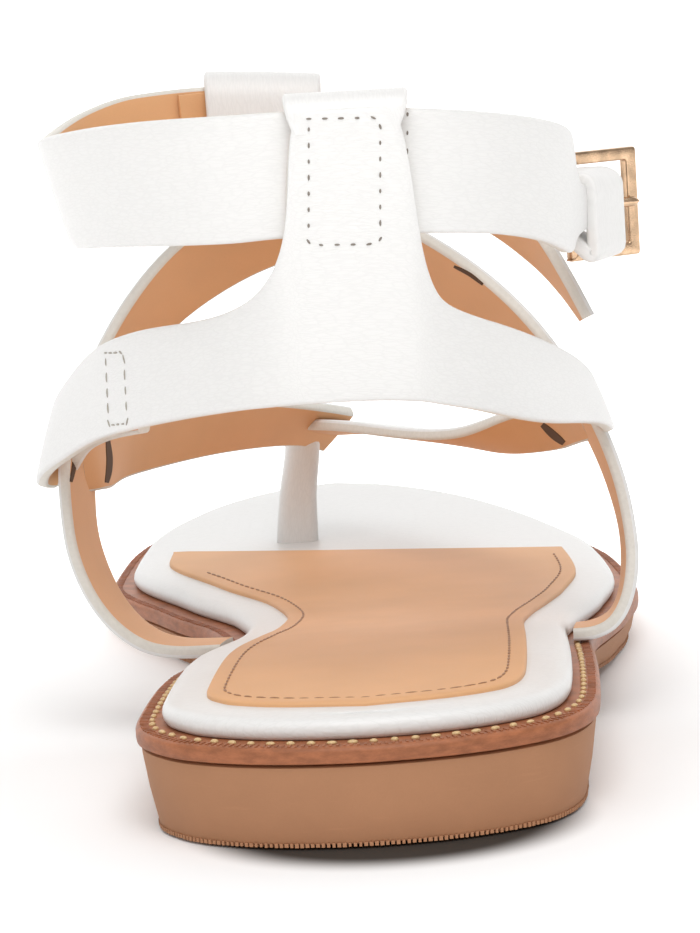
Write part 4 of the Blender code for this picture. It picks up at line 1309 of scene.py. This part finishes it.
class SANDAL_OT_buckle(bpy.types.Operator):
    """Make the gold frame with its hinge bar and the prong that swings on it"""

    bl_idname = "sandal.buckle"
    bl_label = "Buckle"

    def execute(self, context):
        self.make_frame()
        self.make_prong()
        return {"FINISHED"}

    def on_hinge(self, item, turn):
        shift = Matrix.Translation(place(*BUCKLE_AXIS, BUCKLE_FLOOR))
        item.data.transform(shift @ Matrix.Rotation(math.pi / 2 - turn, 4, "Z"))

    def make_frame(self):
        half = BUCKLE_WIRE / 2
        build = bmesh.new()
        outer = [(-half, 0.0), (BUCKLE_REACH + half, 0.0), (BUCKLE_REACH + half, BUCKLE_HEIGHT),
                 (-half, BUCKLE_HEIGHT)]
        inner = [(half, BUCKLE_WIRE), (BUCKLE_REACH - half, BUCKLE_WIRE),
                 (BUCKLE_REACH - half, BUCKLE_HEIGHT - BUCKLE_WIRE), (half, BUCKLE_HEIGHT - BUCKLE_WIRE)]
        loops = []
        for y in (-half, half):
            loops.append([build.verts.new(Vector((x, y, z)) * MM) for x, z in outer])
            loops.append([build.verts.new(Vector((x, y, z)) * MM) for x, z in inner])
        front_out, front_in, back_out, back_in = loops
        for i in range(3):
            j = i + 1
            build.faces.new((front_out[i], front_out[j], front_in[j], front_in[i]))
            build.faces.new((back_out[i], back_in[i], back_in[j], back_out[j]))
            build.faces.new((front_out[i], back_out[i], back_out[j], front_out[j]))
            build.faces.new((front_in[i], front_in[j], back_in[j], back_in[i]))
        for i in (0, 3):
            build.faces.new((front_out[i], front_in[i], back_in[i], back_out[i]))
        bmesh.ops.recalc_face_normals(build, faces=build.faces)
        bmesh.ops.bevel(build, geom=build.edges[:], offset=BUCKLE_BEVEL * MM, segments=3, profile=0.6,
                        affect="EDGES")
        made = bmesh.ops.create_cone(build, cap_ends=True, segments=BAR_SIDES, radius1=BAR_RADIUS * MM,
                                     radius2=BAR_RADIUS * MM, depth=(BUCKLE_HEIGHT - 2 * BAR_INSET) * MM)
        bmesh.ops.translate(build, verts=made["verts"], vec=(0.0, 0.0, BUCKLE_HEIGHT / 2 * MM))
        item = finish_mesh("buckle_loop", build, ["plated_gold"], HARD_ANGLE)
        self.on_hinge(item, BUCKLE_TURN)
        seat(item, "frame", "gold_metal", "buckle_frame")

    def make_prong(self):
        middle = BUCKLE_HEIGHT / 2
        ring = (BAR_RADIUS + PRONG_GAP + PRONG_EYE) / 2
        length = BUCKLE_REACH + PRONG_LAP
        build = bmesh.new()
        turns = np.radians(np.linspace(*EYE_TURNS))
        path = [(ring * math.cos(turn), ring * math.sin(turn), middle) for turn in turns]
        wall = (PRONG_EYE - BAR_RADIUS - PRONG_GAP) / 2
        sweep(build, path, [wall] * len(path), [PRONG_EYE_HALF] * len(path), EYE_SIDES)
        reach = np.linspace(BAR_RADIUS + PRONG_GAP + PRONG_ROOT, length, PRONG_STEPS)
        path = [(x, 0.0, middle) for x in reach]
        taper = [PRONG_RADIUS * min(1.0, math.sqrt(max(PRONG_TIP, length - x))) for x in reach]
        sweep(build, path, taper, taper, PRONG_SIDES)
        item = finish_mesh("buckle_pin", build, ["plated_gold"], HARD_ANGLE)
        clearance = BUCKLE_WIRE / 2 + PRONG_RADIUS + PRONG_GAP
        self.on_hinge(item, BUCKLE_TURN + math.atan2(clearance, BUCKLE_REACH))
        seat(item, "prong", "gold_metal", "buckle_prong")


class SANDAL_OT_slots(bpy.types.Operator):
    """Mark the slots of the straps with dark strips of painted shade, and the lapped end of the ankle strap's
    lining
    """

    bl_idname = "sandal.slots"
    bl_label = "Slots and lap"

    def execute(self, context):
        for number, slot in enumerate(SLOTS, start=1):
            self.make_slot(f"strap_slot_{number}", slot)
        curve = smooth_rows(LINING_LAP, STRAP_STEPS)
        lap = ribbon("lining_lap", curve, LAP_WALL, 0.0, (0.5, BACKWARD), ["tan_strap_lining"] * 3)
        seat(lap, SHOE, "tan_lining")
        return {"FINISHED"}

    def make_slot(self, name, slot):
        path = smooth_rows(slot.places, SLOT_STEPS)
        ahead = np.gradient(path, axis=0)
        across = np.column_stack([ahead[:, 2], np.zeros(len(path)), -ahead[:, 0]])
        across /= np.linalg.norm(across, axis=1, keepdims=True)
        taper = np.sin(np.linspace(*SLOT_ENDS, len(path)) * math.pi) ** 0.5
        half = across * (slot.width / 2 * taper)[:, None]
        low, normals = seen_face(slot.pieces, path - half)
        high = seen_face(slot.pieces, path + half)[0]
        rows = np.hstack([low, high])
        strip = ribbon(name, rows, SLOT_WALL, 0.0, (0.5, normals[len(path) // 2]), ["slot_shadow"] * 3)
        seat(strip, SHOE, "tan_lining")


class SANDAL_OT_strap_stitches(bpy.types.Operator):
    """Sew the box on the heel tab, the box at the heel strap's end and the row on the ankle strap"""

    bl_idname = "sandal.strap_stitches"
    bl_label = "Strap stitches"

    def execute(self, context):
        sizes = context.scene.sandal_sizes
        heel = bpy.data.objects["heel_strap"]
        ankle = bpy.data.objects["ankle_band"]
        paths = [
            on_face(heel, box_path(HEEL_BOX, HEEL_BOX_STEPS), STITCH_LIFT),
            on_face(ankle, run_length(STRAP_ROW, STRAP_ROW_STEP), STITCH_LIFT),
        ]
        size = (sizes.stitch_length, sizes.thread * 2, sizes.thread * 2)
        rows = repeated("strap_stitches", paths, sizes.stitch_pitch, size, "strap_thread")
        seat(rows, SHOE, "white_leather")
        path = on_face(heel, box_path(MEDIAL_BOX, MEDIAL_BOX_STEPS), STITCH_LIFT)
        size = (sizes.stitch_length * 2, sizes.thread * 2, sizes.thread * 2)
        rows = repeated("medial_stitches", [path], sizes.stitch_pitch, size, "pale_thread")
        seat(rows, SHOE, "white_leather")
        return {"FINISHED"}


class SANDAL_OT_stage(bpy.types.Operator):
    """Set the pale floor, the soft studio light and the camera"""

    bl_idname = "sandal.stage"
    bl_label = "Stage"

    def execute(self, context):
        floor_white()
        self.make_floor()
        self.make_lights(context)
        self.make_camera(context)
        context.scene.view_settings.view_transform = "Standard"
        return {"FINISHED"}

    def make_floor(self):
        build = bmesh.new()
        side = [(FLOOR_NEAR, 0.0), (FLOOR_BEND, 0.0)]
        for turn in np.linspace(*FLOOR_TURNS):
            side.append((FLOOR_BEND + FLOOR_CURVE * math.sin(turn), FLOOR_CURVE * (1 - math.cos(turn))))
        side.append((FLOOR_BEND + FLOOR_CURVE, FLOOR_TOP))
        rows = [[build.verts.new((x, y, z)) for x in (-FLOOR_HALF, FLOOR_HALF)] for y, z in side]
        for low, high in zip(rows, rows[1:]):
            build.faces.new((low[0], low[1], high[1], high[0]))
        floor = finish_mesh("floor", build, ["floor_white"], FLOOR_ANGLE)

    def make_lights(self, context):
        world = bpy.data.worlds.new("studio")
        world.use_nodes = True
        sky = world.node_tree.nodes["Background"].inputs
        sky["Color"].default_value = (1.0, 1.0, 1.0, 1.0)
        sky["Strength"].default_value = WORLD_STRENGTH
        context.scene.world = world
        for lamp in LAMPS:
            light = bpy.data.lights.new(lamp.name, "AREA")
            light.energy = lamp.power
            light.size = lamp.side
            item = bpy.data.objects.new(lamp.name, light)
            item.location = lamp.spot
            item.rotation_euler = (Vector(LAMP_AIM) - Vector(lamp.spot)).to_track_quat("-Z", "Y").to_euler()
            context.scene.collection.objects.link(item)

    def make_camera(self, context):
        lens = bpy.data.cameras.new("camera")
        lens.lens = LENS
        lens.sensor_width = SENSOR
        lens.clip_start = CLIP_START
        ahead = Vector((math.sin(YAW) * math.cos(PITCH), math.cos(YAW) * math.cos(PITCH), -math.sin(PITCH)))
        right = Vector((math.cos(YAW), -math.sin(YAW), 0.0))
        down = ahead.cross(right)
        turned_right = right * math.cos(ROLL) + down * math.sin(ROLL)
        turned_down = down * math.cos(ROLL) - right * math.sin(ROLL)
        axes = Matrix((turned_right, -turned_down, -ahead)).transposed()
        item = bpy.data.objects.new("camera", lens)
        item.matrix_world = Matrix.Translation(EYE) @ axes.to_4x4()
        context.scene.collection.objects.link(item)
        context.scene.camera = item


class SANDAL_PT_panel(bpy.types.Panel):
    """Lists the sandal's sizes, colours and pieces"""

    bl_idname = "SANDAL_PT_panel"
    bl_label = "Sandal"
    bl_space_type = "VIEW_3D"
    bl_region_type = "UI"
    bl_category = "Sandal"

    def draw(self, context):
        layout = self.layout
        for group in (context.scene.sandal_sizes, context.scene.sandal_colours):
            for key in group.__annotations__:
                layout.prop(group, key)
        for entry in PIECES:
            layout.operator(entry.bl_idname)


PIECES = (
    SANDAL_OT_finishes,
    SANDAL_OT_outsole,
    SANDAL_OT_welt,
    SANDAL_OT_footbed,
    SANDAL_OT_sock,
    SANDAL_OT_straps,
    SANDAL_OT_ankle_strap,
    SANDAL_OT_keeper,
    SANDAL_OT_buckle,
    SANDAL_OT_slots,
    SANDAL_OT_strap_stitches,
    SANDAL_OT_stage,
)
CLASSES = (SandalSizes, SandalColours, *PIECES, SANDAL_PT_panel)


def register():
    for entry in CLASSES:
        bpy.utils.register_class(entry)
    bpy.types.Scene.sandal_sizes = PointerProperty(type=SandalSizes)
    bpy.types.Scene.sandal_colours = PointerProperty(type=SandalColours)


def unregister():
    del bpy.types.Scene.sandal_colours
    del bpy.types.Scene.sandal_sizes
    for entry in reversed(CLASSES):
        bpy.utils.unregister_class(entry)


def main():
    register()
    bpy.ops.sandal.finishes()
    bpy.ops.sandal.outsole()
    bpy.ops.sandal.welt()
    bpy.ops.sandal.footbed()
    bpy.ops.sandal.sock()
    bpy.ops.sandal.straps()
    bpy.ops.sandal.ankle_strap()
    bpy.ops.sandal.keeper()
    bpy.ops.sandal.buckle()
    bpy.ops.sandal.slots()
    bpy.ops.sandal.strap_stitches()
    bpy.ops.sandal.stage()


if __name__ == "__main__":
    main()
